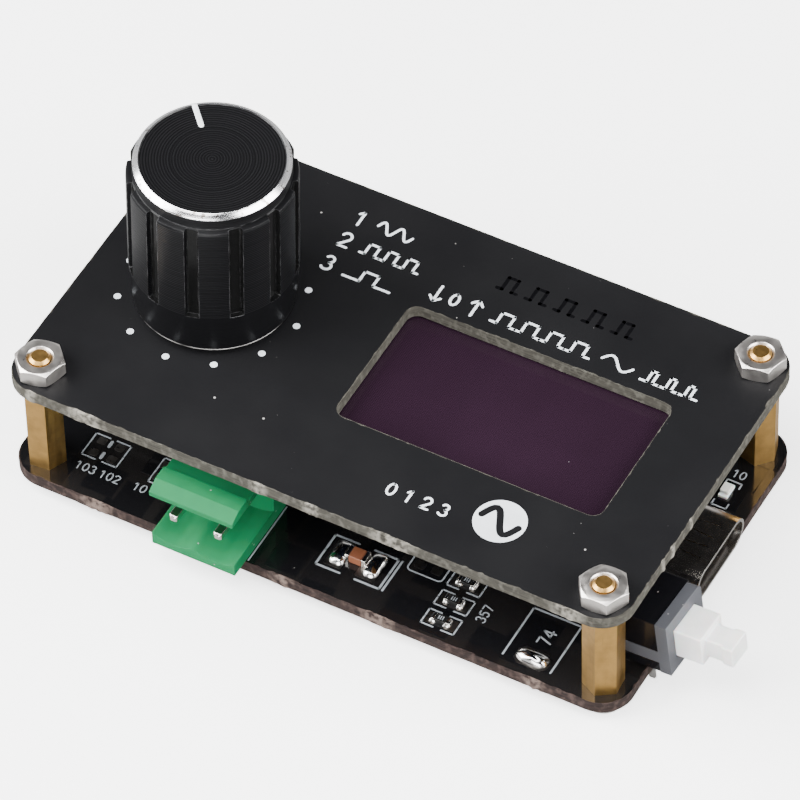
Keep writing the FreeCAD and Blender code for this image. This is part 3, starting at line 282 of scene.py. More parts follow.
# %% Specks: a small disc in some of the cells of a random pattern
speck_group, given, result = new_group("specks", {"Scale": 600.0, "Size": 0.05, "Share": 0.3}, "Mask")
speck_cells = node(speck_group, "ShaderNodeTexVoronoi", {"Vector": given["Vector"], "Scale": given["Scale"]})
speck_pick = node(speck_group, "ShaderNodeSeparateColor", {"Color": speck_cells.outputs["Color"]})
near = maths(speck_group, "LESS_THAN", speck_cells.outputs["Distance"],
             maths(speck_group, "MULTIPLY", given["Size"], speck_pick.outputs["Green"]))
chosen = maths(speck_group, "LESS_THAN", speck_pick.outputs["Red"], given["Share"])
speck_group.links.new(maths(speck_group, "MULTIPLY", near, chosen), result)

# %% Drawn lines: noise squeezed across and stretched along one axis
drawn_group, given, result = new_group(
    "drawn_lines", {"Across": 5000.0, "Along X": 1.0, "Along Y": 1.0, "Along Z": 0.02}, "Value")
drawn_scale = node(drawn_group, "ShaderNodeCombineXYZ", {axis: given["Along " + axis] for axis in "XYZ"})
drawn_place = node(drawn_group, "ShaderNodeVectorMath", {0: given["Vector"], 1: drawn_scale.outputs[0]},
                   operation="MULTIPLY")
drawn_noise = node(drawn_group, "ShaderNodeTexNoise",
                   {"Vector": drawn_place.outputs[0], "Scale": given["Across"], "Detail": 2.0})
drawn_group.links.new(drawn_noise.outputs["Fac"], result)

# %% Edge wear and painted highlight: where a slightly rounded normal parts from the true one, broken up by noise
wear_and_highlight_group, given, result = new_group(
    "edge_wear_and_highlight", {"Radius": 0.0001, "Patches": 2500.0, "Amount": 1.0}, "Mask")
edge_round = node(wear_and_highlight_group, "ShaderNodeBevel", {"Radius": given["Radius"]}, samples=4)
edge_true = node(wear_and_highlight_group, "ShaderNodeNewGeometry")
edge_dot = node(wear_and_highlight_group, "ShaderNodeVectorMath",
                {0: edge_round.outputs[0], 1: edge_true.outputs["Normal"]}, operation="DOT_PRODUCT")
wear_and_highlight_edge = ranged(wear_and_highlight_group, edge_dot.outputs["Value"], 0.98, 0.80)
edge_noise = node(wear_and_highlight_group, "ShaderNodeTexNoise", {"Vector": given["Vector"], "Scale": given["Patches"]})
wear_and_highlight_patch = ranged(wear_and_highlight_group, edge_noise.outputs["Fac"], 0.42, 0.62)
# This mask marks the edges that finishes paint paler: partly wear, partly a painted highlight.
wear_and_highlight_mask = maths(wear_and_highlight_group, "MULTIPLY", wear_and_highlight_edge, wear_and_highlight_patch)
wear_and_highlight_group.links.new(maths(wear_and_highlight_group, "MULTIPLY", wear_and_highlight_mask, given["Amount"]), result)
print("shared groups:", [group.name for group in bpy.data.node_groups])


# %% [markdown]
# ## Recipes for finishes
# Most of the small parts are moulded plastic or plated metal, and differ only in colour, gloss
# and grain. A recipe builds such a material from a few numbers. The showpieces, such as the
# lacquer and the knob, get trees of their own afterwards.

# %% Recipes
def tint(colour, factor, lift=0.0):
    """Colour made darker or paler by a factor, and lifted by the same amount everywhere."""
    return tuple(min(1.0, factor * part + lift) for part in colour)


def dusted(tree, body, dust, cover, colour):
    """Body colour with dust laid over it, never thicker than cover."""
    return mixed(tree, maths(tree, "MULTIPLY", dust, cover), body, colour)


def rough_bump(shader, height, distance, strength=1.0):
    """Feeds a height, in shares of the distance in metres, to the shader's normal."""
    sockets = {"Height": height, "Distance": distance, "Strength": strength}
    feed(shader, Normal=node(shader.id_data, "ShaderNodeBump", sockets).outputs["Normal"])


def moulding(name, colour, roughness, grain_scale=9000.0, depth=0.000006, dust=0.10, **plain):
    """Moulded plastic: cloudy colour, spark-eroded grain, paler edges that are partly rubbed wear and partly
    a painted highlight, and a little dust.
    """
    material, tree, shader, place = new_finish(name, colour, roughness, **plain)
    clouds = use(tree, grain_group, place, Scale=700.0, Detail=4.0)
    grain = use(tree, grain_group, place, Scale=grain_scale, Detail=3.0)
    # Paler edges: partly rubbed wear, partly a painted highlight.
    wear_and_highlight = use(tree, wear_and_highlight_group, place, Radius=0.00012, Patches=1800.0, Amount=0.35)
    dusty = use(tree, speck_group, place, Scale=1500.0, Size=0.16, Share=dust)
    body = mixed(tree, clouds, tint(colour, 0.82), tint(colour, 1.12))
    rubbed_and_highlit = mixed(tree, wear_and_highlight, body, tint(colour, 1.25, 0.02))
    feed(shader, Base_Color=dusted(tree, rubbed_and_highlit, dusty, 0.35, (0.5, 0.48, 0.45)),
         Roughness=ranged(tree, clouds, 0.3, 0.7, 0.85 * roughness, min(1.0, 1.2 * roughness)))
    rough_bump(shader, grain, depth)
    return material


def plating(name, colour, roughness, across=4000.0, along=(1.0, 1.0, 0.03), depth=0.000004, tarnish=0.35):
    """Plated or drawn metal: fine lines along one axis, patchy tarnish and brighter edges, partly worn and
    partly a painted highlight.
    """
    material, tree, shader, place = new_finish(name, colour, roughness, metallic=1.0)
    lines = use(tree, drawn_group, place, Across=across, Along_X=along[0], Along_Y=along[1], Along_Z=along[2])
    patches = use(tree, grain_group, place, Scale=900.0, Detail=5.0)
    # Brighter edges: partly worn metal, partly a painted highlight.
    wear_and_highlight = use(tree, wear_and_highlight_group, place, Radius=0.0001, Patches=3000.0, Amount=0.6)
    body = mixed(tree, ranged(tree, patches, 0.40, 0.80), colour, tint(colour, 1.0 - tarnish))
    gloss = maths(tree, "MULTIPLY_ADD", lines, roughness)
    gloss.node.inputs[2].default_value = 0.6 * roughness
    feed(shader, Base_Color=mixed(tree, wear_and_highlight, body, tint(colour, 1.15, 0.03)), Roughness=gloss)
    rough_bump(shader, lines, depth)
    return material


def dress(node_names, material):
    """Gives nodes of the model, named in one string, a finish in every slot they have."""
    for node_name in node_names.split():
        for slot in frame["nodes"][node_name].material_slots:
            slot.material = material


# %% [markdown]
# ## Lacquer, laminate and display
# The front panel wears matt black solder mask: almost no colour, a soft sheen, and every grain
# of dust shows. The main board's mask is glossy, and the copper under it stands up a hair. The
# cut edge of a board shows its glass layers, pale on the panel and brown on the main board.

# %% Matt black lacquer
panel_lacquer, tree, shader, place = new_finish("matt_black_lacquer", (0.005, 0.005, 0.0055), 0.42,
                                                Specular_IOR_Level=0.11)
dust = use(tree, speck_group, place, Scale=420.0, Size=0.055, Share=0.30)
fine_dust = use(tree, speck_group, place, Scale=1500.0, Size=0.07, Share=0.10)
all_dust = maths(tree, "MAXIMUM", dust, maths(tree, "MULTIPLY", fine_dust, 0.5))
smudge = use(tree, grain_group, place, Scale=120.0, Detail=5.0)
mask_black = mixed(tree, smudge, (0.0044, 0.0044, 0.0050), (0.0066, 0.0066, 0.0072))
peel = use(tree, grain_group, place, Scale=4500.0, Detail=2.0)
feed(shader, Base_Color=dusted(tree, mask_black, all_dust, 0.55, (0.45, 0.44, 0.42)),
     Roughness=ranged(tree, smudge, 0.3, 0.7, 0.40, 0.50))
rough_bump(shader, maths(tree, "ADD", peel, maths(tree, "MULTIPLY", all_dust, 2.0)), 0.000004)

# %% Glossy black lacquer over raised copper
board_lacquer, tree, shader, place = new_finish("glossy_black_lacquer", (0.004, 0.004, 0.0045), 0.10)
tracks = node(tree, "ShaderNodeTexVoronoi", {"Vector": place, "Scale": 260.0, "Randomness": 0.6},
              distance="CHEBYCHEV", feature="F1")
copper = ranged(tree, tracks.outputs["Distance"], 0.40, 0.43)
dust = use(tree, speck_group, place, Scale=500.0, Size=0.06, Share=0.35)
mask_black = mixed(tree, copper, (0.0035, 0.0035, 0.004), (0.0065, 0.006, 0.006))
smudge = use(tree, grain_group, place, Scale=300.0, Detail=4.0)
feed(shader, Base_Color=dusted(tree, mask_black, dust, 0.6, (0.4, 0.39, 0.37)),
     Roughness=ranged(tree, smudge, 0.35, 0.7, 0.07, 0.17))
rough_bump(shader, copper, 0.000012, 0.6)


# %% Cut edges of the boards
def laminate(name, light, middle, dark, torn_colour):
    """Cut glass laminate: thin layers that run level, router marks across them, pale where it is torn."""
    material, tree, shader, place = new_finish(name, middle, 0.8, Specular_IOR_Level=0.2)
    layers = use(tree, drawn_group, place, Across=9000.0, Along_X=0.04, Along_Y=0.04, Along_Z=1.0)
    marks = use(tree, drawn_group, place, Across=2000.0, Along_X=1.0, Along_Y=1.0, Along_Z=0.7)
    torn = node(tree, "ShaderNodeAttribute", attribute_name="torn").outputs["Fac"]
    fibres = mixed(tree, ranged(tree, layers, 0.35, 0.65), dark, middle)
    body = mixed(tree, ranged(tree, marks, 0.48, 0.72), fibres, light)
    frayed = maths(tree, "MULTIPLY", torn, ranged(tree, marks, 0.35, 0.60))
    feed(shader, Base_Color=mixed(tree, frayed, body, torn_colour))
    rough_bump(shader, maths(tree, "ADD", layers, marks), 0.00003, 0.8)
    return material


panel_laminate = laminate("panel_laminate", (0.078, 0.074, 0.062), (0.050, 0.047, 0.038),
                          (0.024, 0.022, 0.018), (0.19, 0.178, 0.152))
main_laminate = laminate("main_laminate", (0.052, 0.034, 0.029), (0.024, 0.014, 0.012),
                         (0.008, 0.005, 0.0045), (0.13, 0.095, 0.08))

# %% Dark display face with its fine grid of dots
display_face, tree, shader, place = new_finish("display_face", (0.02, 0.008, 0.015), 0.16,
                                               Specular_IOR_Level=0.3)
cell = 0.17
grid = node(tree, "ShaderNodeTexBrick", {"Vector": place, "Scale": 1000.0, "Mortar Size": 0.03,
                                         "Brick Width": cell, "Row Height": cell}, offset=0.0)
haze = use(tree, grain_group, place, Scale=90.0, Detail=4.0)
tone = mixed(tree, haze, (0.010, 0.0045, 0.009), (0.019, 0.008, 0.017))
dust = use(tree, speck_group, place, Scale=600.0, Size=0.05, Share=0.2)
dotted = mixed(tree, maths(tree, "MULTIPLY", grid.outputs["Fac"], 0.35), tone, (0.006, 0.003, 0.005))
feed(shader, Base_Color=dusted(tree, dotted, dust, 0.5, (0.4, 0.38, 0.4)),
     Roughness=ranged(tree, haze, 0.3, 0.7, 0.12, 0.22))

# %% [markdown]
# ## Finishes of the smaller parts
# One line per finish, then one table that says which nodes wear what. Nodes that a new piece
# replaces later on need no finish of their own.

# %% Small finishes
black_plastic = moulding("black_moulding", (0.012, 0.012, 0.012), 0.35)
glossy_black = moulding("glossy_black_moulding", (0.004, 0.004, 0.005), 0.14, depth=0.000002, dust=0.2,
                        Specular_IOR_Level=0.35)
green_plastic = moulding("green_moulding", (0.008, 0.122, 0.044), 0.52, grain_scale=6000.0, depth=0.000004,
                         Subsurface_Weight=0.25, Subsurface_Scale=0.0008, Specular_IOR_Level=0.08)
grey_plastic = moulding("grey_moulding", (0.050, 0.052, 0.060), 0.42, grain_scale=7000.0)
white_plastic = moulding("milky_white_moulding", (0.78, 0.78, 0.77), 0.38, depth=0.000004, dust=0.0,
                         Subsurface_Weight=0.35, Subsurface_Scale=0.0012)
epoxy = moulding("chip_epoxy", (0.018, 0.018, 0.019), 0.55, grain_scale=14000.0)
ferrite = moulding("ferrite", (0.05, 0.05, 0.053), 0.7, grain_scale=12000.0)
ceramic = moulding("brown_ceramic", (0.16, 0.055, 0.025), 0.40, grain_scale=12000.0)
glaze = moulding("resistor_glaze", (0.008, 0.008, 0.008), 0.18)
blue_lacquer = moulding("blue_lacquer", (0.006, 0.010, 0.030), 0.25)
amber_film = moulding("amber_film", (0.30, 0.12, 0.02), 0.30)
ink = moulding("white_ink", (0.62, 0.65, 0.68), 0.55, grain_scale=16000.0, depth=0.000003, dust=0.05)
dull_ink = moulding("board_ink", (0.22, 0.24, 0.26), 0.50, grain_scale=16000.0, depth=0.000003, dust=0.05)
sunk_ink = moulding("sunk_ink", (0.0012, 0.0012, 0.0016), 0.22, dust=0.0)
pointer_paint = moulding("pointer_paint", (0.78, 0.80, 0.82), 0.45, depth=0.000004, dust=0.0)
brass = plating("drawn_brass", (0.54, 0.32, 0.10), 0.32, across=5200.0, tarnish=0.30)
nickel = plating("nickel_plate", (0.76, 0.72, 0.68), 0.30, across=1200.0, along=(1.0, 1.0, 0.3),
                 depth=0.0000006, tarnish=0.12)
steel = plating("plated_steel", (0.60, 0.58, 0.55), 0.30)
tin = plating("bright_tin", (0.76, 0.74, 0.70), 0.16, tarnish=0.25)
zinc = plating("zinc_plate", (0.56, 0.56, 0.55), 0.38)
socket_steel = plating("socket_steel", (0.60, 0.56, 0.52), 0.20, tarnish=0.15)
gold = plating("thin_gold", (0.82, 0.58, 0.24), 0.25)
turned = plating("turned_aluminium", (0.70, 0.70, 0.70), 0.32, along=(0.05, 0.05, 1.0))
# Pads: tin painted dark grey, a painted dark reflection of the room.
pad_painted_dark = plating("pad_painted_dark_reflection", (0.16, 0.15, 0.14), 0.30)
mirror_tin = plating("solder_skin", (0.80, 0.79, 0.77), 0.12, across=1500.0, along=(1.0, 1.0, 1.0),
                     depth=0.00001, tarnish=0.45)
display_glass, *_ = new_finish("display_glass", (0.30, 0.30, 0.32), 0.05, Transmission_Weight=0.6, IOR=1.5)
lamp_resin, tree, shader, place = new_finish("lamp_resin", (0.85, 0.86, 0.80), 0.18,
                                             Transmission_Weight=0.35, IOR=1.5)
rough_bump(shader, use(tree, grain_group, place, Scale=3500.0, Detail=3.0), 0.00002)

wardrobe = {
    panel_lacquer: "front_panel",
    board_lacquer: "main_board",
    display_face: "display_film",
    display_glass: "display_glass display_cover_glass",
    black_plastic: "encoder_base knob_core display_spacer usb_tongue",
    white_plastic: "encoder_rotor lamp_base",
    blue_lacquer: "display_module",
    amber_film: "display_ribbon",
    epoxy: "display_driver regulators",
    ceramic: "capacitor_bodies",
    brass: "standoffs",
    steel: "board_screws encoder_push_dome switch_contact",
    zinc: "encoder_plate",
    turned: "encoder_bush encoder_shaft",
    gold: "display_pins usb_contacts",
    tin: "encoder_terminals switch_pins microcontroller_leads amplifier_leads regulator_leads capacitor_ends",
}
for finish, node_names in wardrobe.items():
    dress(node_names, finish)
print("finishes worn by nodes:", len(wardrobe))

# %% [markdown]
# ## Helpers for new surfaces
# Almost every new piece is a row of rings: closed loops of points, each joined to the next by a
# band of quads. A turned knob, a printed line, a board's edge and a drop of solder are all that.
# The points come out of numpy arithmetic as whole arrays, and so do the faces' indices.

# %% Rings to mesh
def ring_faces(rows, columns, closed=False, caps=True):
    """Quads between neighbouring rings of a rows x columns grid; caps add an n-gon at each end."""
    row = np.arange(rows if closed else rows - 1)[:, None]
    column = np.arange(columns)[None, :]
    here, following = row * columns, ((row + 1) % rows) * columns
    beside = (column + 1) % columns
    quads = np.stack([here + column, here + beside, following + beside, following + column], axis=-1)
    faces = quads.reshape(-1, 4).tolist()
    if caps and not closed:
        faces.append(list(range(columns))[::-1])
        faces.append(list(range((rows - 1) * columns, rows * columns)))
    return faces


def finished_object(name, mesh, sharp_deg, body):
    """Object made of a mesh, shaded smooth up to an angle, that rides on a body."""
    mesh.shade_smooth()
    mesh.set_sharp_from_angle(angle=math.radians(sharp_deg))
    made = bpy.data.objects.new(name, mesh)
    bpy.context.scene.collection.objects.link(made)
    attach(made, body)
    return made


def new_piece(name, parts, materials, body="chassis", sharp_deg=35.0):
    """One object from parts, a list of (points, faces, material index or a list of them)."""
    counts = [part[0].size // 3 for part in parts]
    starts = np.cumsum([0] + counts)
    faces, indices = [], []
    for (_, part_faces, kind), start in zip(parts, starts):
        faces.extend([[index + int(start) for index in face] for face in part_faces])
        indices.extend([kind] * len(part_faces) if isinstance(kind, int) else kind)
    mesh = bpy.data.meshes.new(name)
    mesh.from_pydata(np.concatenate([part[0].reshape(-1, 3) for part in parts]).tolist(), [], faces)
    for material in materials:
        mesh.materials.append(material)
    mesh.polygons.foreach_set("material_index", indices)
    work = bmesh.new()
    work.from_mesh(mesh)
    bmesh.ops.remove_doubles(work, verts=work.verts, dist=0.0002 * MM)
    bmesh.ops.recalc_face_normals(work, faces=work.faces)
    work.to_mesh(mesh)
    work.free()
    return finished_object(name, mesh, sharp_deg, body)


def merged_copy(node_name, material, body="chassis", sharp_deg=30.0):
    """Copy of a node that stands for it: doubles merged and flat facets joined."""
    mesh = frame["nodes"][node_name].data.copy()
    mesh.name = node_name + "_soft"
    work = bmesh.new()
    work.from_mesh(mesh)
    bmesh.ops.remove_doubles(work, verts=work.verts, dist=0.001 * MM)
    bmesh.ops.dissolve_limit(work, angle_limit=math.radians(0.5), verts=work.verts, edges=work.edges)
    work.to_mesh(mesh)
    work.free()
    mesh.materials.clear()
    mesh.materials.append(material)
    mesh.polygons.foreach_set("material_index", np.zeros(len(mesh.polygons), dtype=np.int32))
    made = finished_object(mesh.name, mesh, sharp_deg, body)
    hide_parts(node_name)
    return made


def smooth(share):
    """Smooth step from 0 to 1."""
    return share * share * (3.0 - 2.0 * share)


def wander(length, count, step, seed):
    """Smooth closed random curve: random heights every step along a loop of the given length."""
    knots = max(4, int(length / step))
    heights = np.random.default_rng(seed).normal(size=knots)
    place = np.linspace(0.0, knots, count, endpoint=False)
    low = place.astype(int)
    blend = smooth(place - low)
    return heights[low % knots] * (1.0 - blend) + heights[(low + 1) % knots] * blend


# %% [markdown]
# ## The boards' cut edges
# Boards are milled out of a large sheet and held by small tabs that are broken off, so an edge
# is rough, layered and torn where a tab was. A band is swept round each outline: its section is
# a thin closed loop that just covers the lacquer's rim, and its outward place wanders.

# %% Outline of a rounded rectangle
def rounded_rectangle(low, high, radius, spacing):
    """Points and outward normals along a rounded rectangle, about one per spacing, and its length.

    The corners' arcs are walked by angle and joined by straight runs; the whole outline is then
    resampled at equal distances, and the normals are the tangents turned by a right angle.
    """
    arcs = []
    angles = np.linspace(0.0, math.pi / 2, 25)
    centres = [(high[0] - radius, high[1] - radius), (low[0] + radius, high[1] - radius),
               (low[0] + radius, low[1] + radius), (high[0] - radius, low[1] + radius)]
    for quarter, (x, y) in enumerate(centres):
        turned_on = angles + quarter * math.pi / 2
        arcs.append(np.stack([x + radius * np.cos(turned_on), y + radius * np.sin(turned_on)], axis=1))
    corners = np.concatenate(arcs + [arcs[0][:1]])
    steps = np.concatenate([[0.0], np.cumsum(np.linalg.norm(np.diff(corners, axis=0), axis=1))])
    along = np.linspace(0.0, steps[-1], int(steps[-1] / spacing), endpoint=False)
    points = np.stack([np.interp(along, steps, corners[:, axis]) for axis in (0, 1)], axis=1)
    tangents = np.roll(points, -1, axis=0) - np.roll(points, 1, axis=0)
    tangents /= np.linalg.norm(tangents, axis=1)[:, None]
    return points, np.stack([tangents[:, 1], -tangents[:, 0]], axis=1), steps[-1]


def torn_share(places, tabs):
    """How torn an edge is at flat places, 0 to 1; a tab is x, y and half its length in millimetres."""
    torn = np.zeros(len(places))
    for x, y, half in tabs:
        near = np.linalg.norm(places - on_board(x, y), axis=1)
        torn = np.maximum(torn, np.clip(1.4 - near / (half * MM), 0.0, 1.0))
    return torn


def edge_band(name, low, high, radius, board, material, roughness, seed, tabs=(), inward=False):
    """Rough band that covers an edge of a board, given by the board's lowest and highest corners.

    Place = outline + normal x (cover + wander x roughness + tear at the tabs), at eight heights;
    two more rings run inside the board and close the loop.
    """
    point_spacing, cover, least_cover = 0.12 * MM, 0.015 * MM, 0.004 * MM
    low_root, high_root, chip, torn_chip = 0.10 * MM, 0.03 * MM, 0.06 * MM, 0.09 * MM
    tear, tear_wander, over_top, under_bottom = 0.06 * MM, 0.04 * MM, 0.006 * MM, 0.004 * MM
    past_face = 0.004 * MM
    bottom, top = board[0][2], board[1][2]
    points, normals, length = rounded_rectangle(low, high, radius, point_spacing)
    if inward:
        normals = -normals
    count = len(points)
    torn = torn_share(points, tabs)

    def curve(step, number):
        return wander(length, count, step * MM, seed + number)

    rings = [at_height(points - normals * low_root, bottom - under_bottom)]
    for level, share in enumerate((0.0, 0.06, 0.2, 0.4, 0.6, 0.8, 0.94, 1.0)):
        rim = 0.35 if share in (0.0, 1.0) else 1.0
        waves = curve(0.55, level) + 0.7 * curve(0.2, 20 + level)
        out = cover + rim * roughness * (0.35 * waves + 0.5 * curve(1.6, 50))
        out = out + torn * (tear + tear_wander * curve(0.35, 80 + level))
        flat = points + normals * np.clip(out, least_cover, None)[:, None]
        past = {0.0: -past_face, 1.0: past_face}.get(share, 0.0)
        rings.append(at_height(flat, bottom + share * (top - bottom) + past))
    chips = chip * np.clip(curve(0.5, 99), 0.0, None) + torn_chip * torn
    rings.append(at_height(points - normals * (high_root + chips)[:, None], top + over_top))
    band = new_piece(name, [(np.stack(rings), ring_faces(len(rings), count, closed=True), 0)], [material],
                     sharp_deg=60.0)
    places = np.zeros(len(band.data.vertices) * 3)
    band.data.vertices.foreach_get("co", places)
    values = band.data.attributes.new("torn", "FLOAT", "POINT")
    values.data.foreach_set("value", torn_share(places.reshape(-1, 3)[:, :2], tabs))
    return band


# %% Edge bands of both boards and of the window
corner_radius, window_corner = 3.0 * MM, 1.1 * MM
front, right_side = -17.25, 30.0
panel_tabs = [(x, front, half) for x, half in ((-26.8, 0.5), (-21.5, 1.6), (-4.4, 0.7), (0.8, 0.9),
                                               (8.5, 1.9), (25.3, 1.3))]
panel_tabs += [(right_side, y, half) for y, half in ((-3.7, 0.25), (-7.1, 0.35), (-8.9, 0.25))]
main_tabs = [(x, front, half) for x, half in ((-21.0, 1.5), (-2.5, 1.0), (7.0, 1.5), (22.0, 1.0))]
window_half = np.array([25.7, 14.25]) / 2 * MM
window_centre = (film_low + film_high)[:2] / 2
panel_edge = edge_band("panel_edge", panel_low, panel_high, corner_radius, (panel_low, panel_high),
                       panel_laminate, 0.028 * MM, 3, panel_tabs)
main_edge = edge_band("main_board_edge", main_low, main_high, corner_radius, (main_low, main_high),
                      main_laminate, 0.026 * MM, 130, main_tabs)
window_edge = edge_band("window_edge", window_centre - window_half, window_centre + window_half,
                        window_corner, (panel_low, panel_high), panel_laminate,
                        0.015 * MM, 260, inward=True)
print("edge points:", [len(band.data.vertices) for band in (panel_edge, main_edge, window_edge)])

# %% [markdown]
# ## The knob
# A turned aluminium knob, anodised black: fine rings on its face, one bright-cut chamfer, a band,
# twelve milled grooves and a plain skirt. Its whole skin is one profile turned round the axis. In
# a groove the radius is pulled in, so groove and body are one closed surface.

# %% The knob's own frame
knob_point = np.array(joints["knob_turn"]["pos_m"])
knob_up = np.array(joints["knob_turn"]["axis"])
knob_lean = math.atan2(knob_up[0], knob_up[2])
knob_side = np.array([knob_up[2], 0.0, -knob_up[0]])
knob_bottom = 0.7 * MM


def on_knob(radius, angle, height):
    """Points from radius, angle and height above the knob's lower rim; arrays of one shape."""
    across = radius * np.cos(angle)
    away = radius * np.sin(angle)
    return (knob_point + across[..., None] * knob_side + away[..., None] * np.array([0.0, 1.0, 0.0])
            + (height + knob_bottom)[..., None] * knob_up)


# %% The knob's profile: radius and height in millimetres, and what the band to the next corner is
SIDE, BRIGHT, FACE, SKIRT, RIM, GROOVE = range(6)
body_radius, groove_floor = 7.45, 7.0
groove_top, groove_end = 15.35, 4.47
knob_profile = [
    (FACE, [(0.0, 16.68), (6.15, 16.68), (6.27, 16.70)]),
    (BRIGHT, [(6.33, 16.79), (6.36, 16.8), (6.80, 16.48), (6.85, 16.40)]),
    (SIDE, [(6.85, 16.34), (6.85, 15.42), (6.88, 15.33), (6.97, 15.28), (7.22, 15.24), (7.36, 15.18),
            (7.43, 15.08)]),
    (SIDE, [(body_radius, height) for height in np.linspace(14.94, 4.52, 22)]),
    (SKIRT, [(body_radius, 4.46), (7.40, 3.4), (7.30, 1.9)]),
    (RIM, [(7.18, 0.24), (7.15, 0.10), (7.08, 0.02), (7.0, 0.0)]),
    (SKIRT, [(6.1, 0.0), (6.1, 3.2), (5.22, 3.2), (5.22, 14.9), (0.0, 14.9)])]


def knob_skin(grooves=12, columns_per_groove=44):
    """Rings of the knob: r(t, angle) = profile radius, less the groove's depth where a groove runs.

    A groove's window is a smooth step in distance round the side times one in height.
    """
    corners = np.array([corner for _, run in knob_profile for corner in run])
    kinds = np.array([kind for kind, run in knob_profile for _ in run])
    count = grooves * columns_per_groove
    angle = np.linspace(0.0, 2 * math.pi, count, endpoint=False)[None, :]
    radius, height = corners[:, 0:1], corners[:, 1:2]
    pitch = 2 * math.pi / grooves
    half_width, wall, end_ramp = 0.50, 0.13, 0.04
    offset = np.abs(angle % pitch - pitch / 2) * body_radius
    across = smooth(1.0 - np.clip((offset - half_width) / wall, 0.0, 1.0))
    along = np.clip((height - groove_end) / end_ramp, 0.0, 1.0) * (height < groove_top)
    depth = np.clip(radius - groove_floor, 0.0, None) * across * along
    grid = on_knob((radius - depth) * MM, angle + 0 * radius, (height + 0 * angle) * MM)
    kind = np.repeat(kinds[:-1], count)
    in_groove = ((across > 0.5) & (along > 0.5) & (radius > groove_floor))[:-1].reshape(-1)
    kind[(kind == SIDE) & in_groove] = GROOVE
    return [(grid, ring_faces(len(grid), count, caps=False), kind.tolist())]


# %% The knob's finishes
def anodised(name, colour, roughness, lines="turns", pitch=0.0002, depth=0.0, wear_and_highlight_amount=0.3, metallic=0.0,
             dust=0.25, gloss=0.13):
    """Anodised aluminium with turning marks: tone, gloss and height are a wave broken by noise.

    lines is 'rings' for circles round the axis (a wave of the distance from it) or 'turns' for
    level lines (a wave of the height along it). With no depth the marks are tone and gloss alone.
    """
    material, tree, shader, place = new_finish(name, colour, roughness, metallic=metallic,
                                                Specular_IOR_Level=gloss)
    centred = node(tree, "ShaderNodeMapping", {"Vector": place, "Location": knob_point,
                                               "Rotation": (0.0, knob_lean, 0.0)}, vector_type="TEXTURE")
    axes = node(tree, "ShaderNodeSeparateXYZ", {"Vector": centred.outputs[0]}).outputs
    flat = node(tree, "ShaderNodeCombineXYZ", {"X": axes["X"], "Y": axes["Y"]}).outputs[0]
    away = node(tree, "ShaderNodeVectorMath", {0: flat}, operation="LENGTH").outputs["Value"]
    measure = away if lines == "rings" else axes["Z"]
    wave = maths(tree, "SINE", maths(tree, "MULTIPLY", measure, 2 * math.pi / pitch))
    uneven = node(tree, "ShaderNodeTexNoise", {"W": maths(tree, "MULTIPLY", measure, 4000.0), "Scale": 1.0,
                                               "Detail": 2.0}, noise_dimensions="1D").outputs["Fac"]
    marks = maths(tree, "MULTIPLY", maths(tree, "ADD", wave, 1.0), uneven)
    # Grey edges: partly worn metal, partly a painted highlight.
    wear_and_highlight = use(tree, wear_and_highlight_group, place, Radius=0.00010, Patches=1500.0, Amount=wear_and_highlight_amount)
    specks = use(tree, speck_group, place, Scale=520.0, Size=0.07, Share=dust)
    worn_and_highlit = mixed(tree, wear_and_highlight, mixed(tree, marks, tint(colour, 0.7), tint(colour, 1.5)), (0.30, 0.30, 0.31))
    feed(shader, Base_Color=dusted(tree, worn_and_highlit, specks, 0.5, (0.4, 0.4, 0.4)),
         Roughness=ranged(tree, marks, 0.0, 1.4, 0.85 * roughness, 1.2 * roughness))
    if depth:
        rough_bump(shader, marks, depth)
    return material, tree, shader, place


knob_black, *_ = anodised("anodised_side", (0.0032, 0.0032, 0.0036), 0.34, "turns", 0.00022, 0.000010)
knob_face, *_ = anodised("anodised_face", (0.004, 0.004, 0.0044), 0.27, "rings", 0.00025, 0.000007,
                         gloss=0.25)
knob_skirt, *_ = anodised("anodised_skirt", (0.003, 0.003, 0.0034), 0.34, wear_and_highlight_amount=0.6, gloss=0.06)
knob_groove, *_ = anodised("anodised_groove", (0.004, 0.004, 0.004), 0.16, wear_and_highlight_amount=0.2)
# The rim under the skirt gets pale grey patches: a painted highlight along the knob's bottom edge.
knob_rim_highlight, tree, shader, place = anodised("rim_painted_highlight", (0.05, 0.05, 0.05), 0.3)
patches = ranged(tree, use(tree, grain_group, place, Scale=260.0, Detail=4.0), 0.45, 0.62)
feed(shader, Base_Color=mixed(tree, patches, (0.006, 0.006, 0.006), (0.34, 0.33, 0.32)))
knob_bright, tree, shader, place = anodised("bright_cut", (0.86, 0.86, 0.88), 0.20, "rings", 0.00009,
                                            0.000004, metallic=1.0, dust=0.0)
spots = ranged(tree, use(tree, grain_group, place, Scale=1900.0, Detail=4.0), 0.60, 0.66)
feed(shader, Base_Color=mixed(tree, spots, (0.88, 0.88, 0.90), (0.30, 0.27, 0.25)))

knob_finishes = [knob_black, knob_bright, knob_face, knob_skirt, knob_rim_highlight, knob_groove]
knob = new_piece("knob_skin", knob_skin(), knob_finishes, body="knob", sharp_deg=28.0)
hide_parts("knob_shell")
print("knob faces:", len(knob.data.polygons))

# %% [markdown]
# ## The pointer line
# White paint laid in a shallow slot from the middle of the face out over the bright ring. It is a
# flat strip whose height follows the face and the chamfer, standing a hair proud, with a round end.

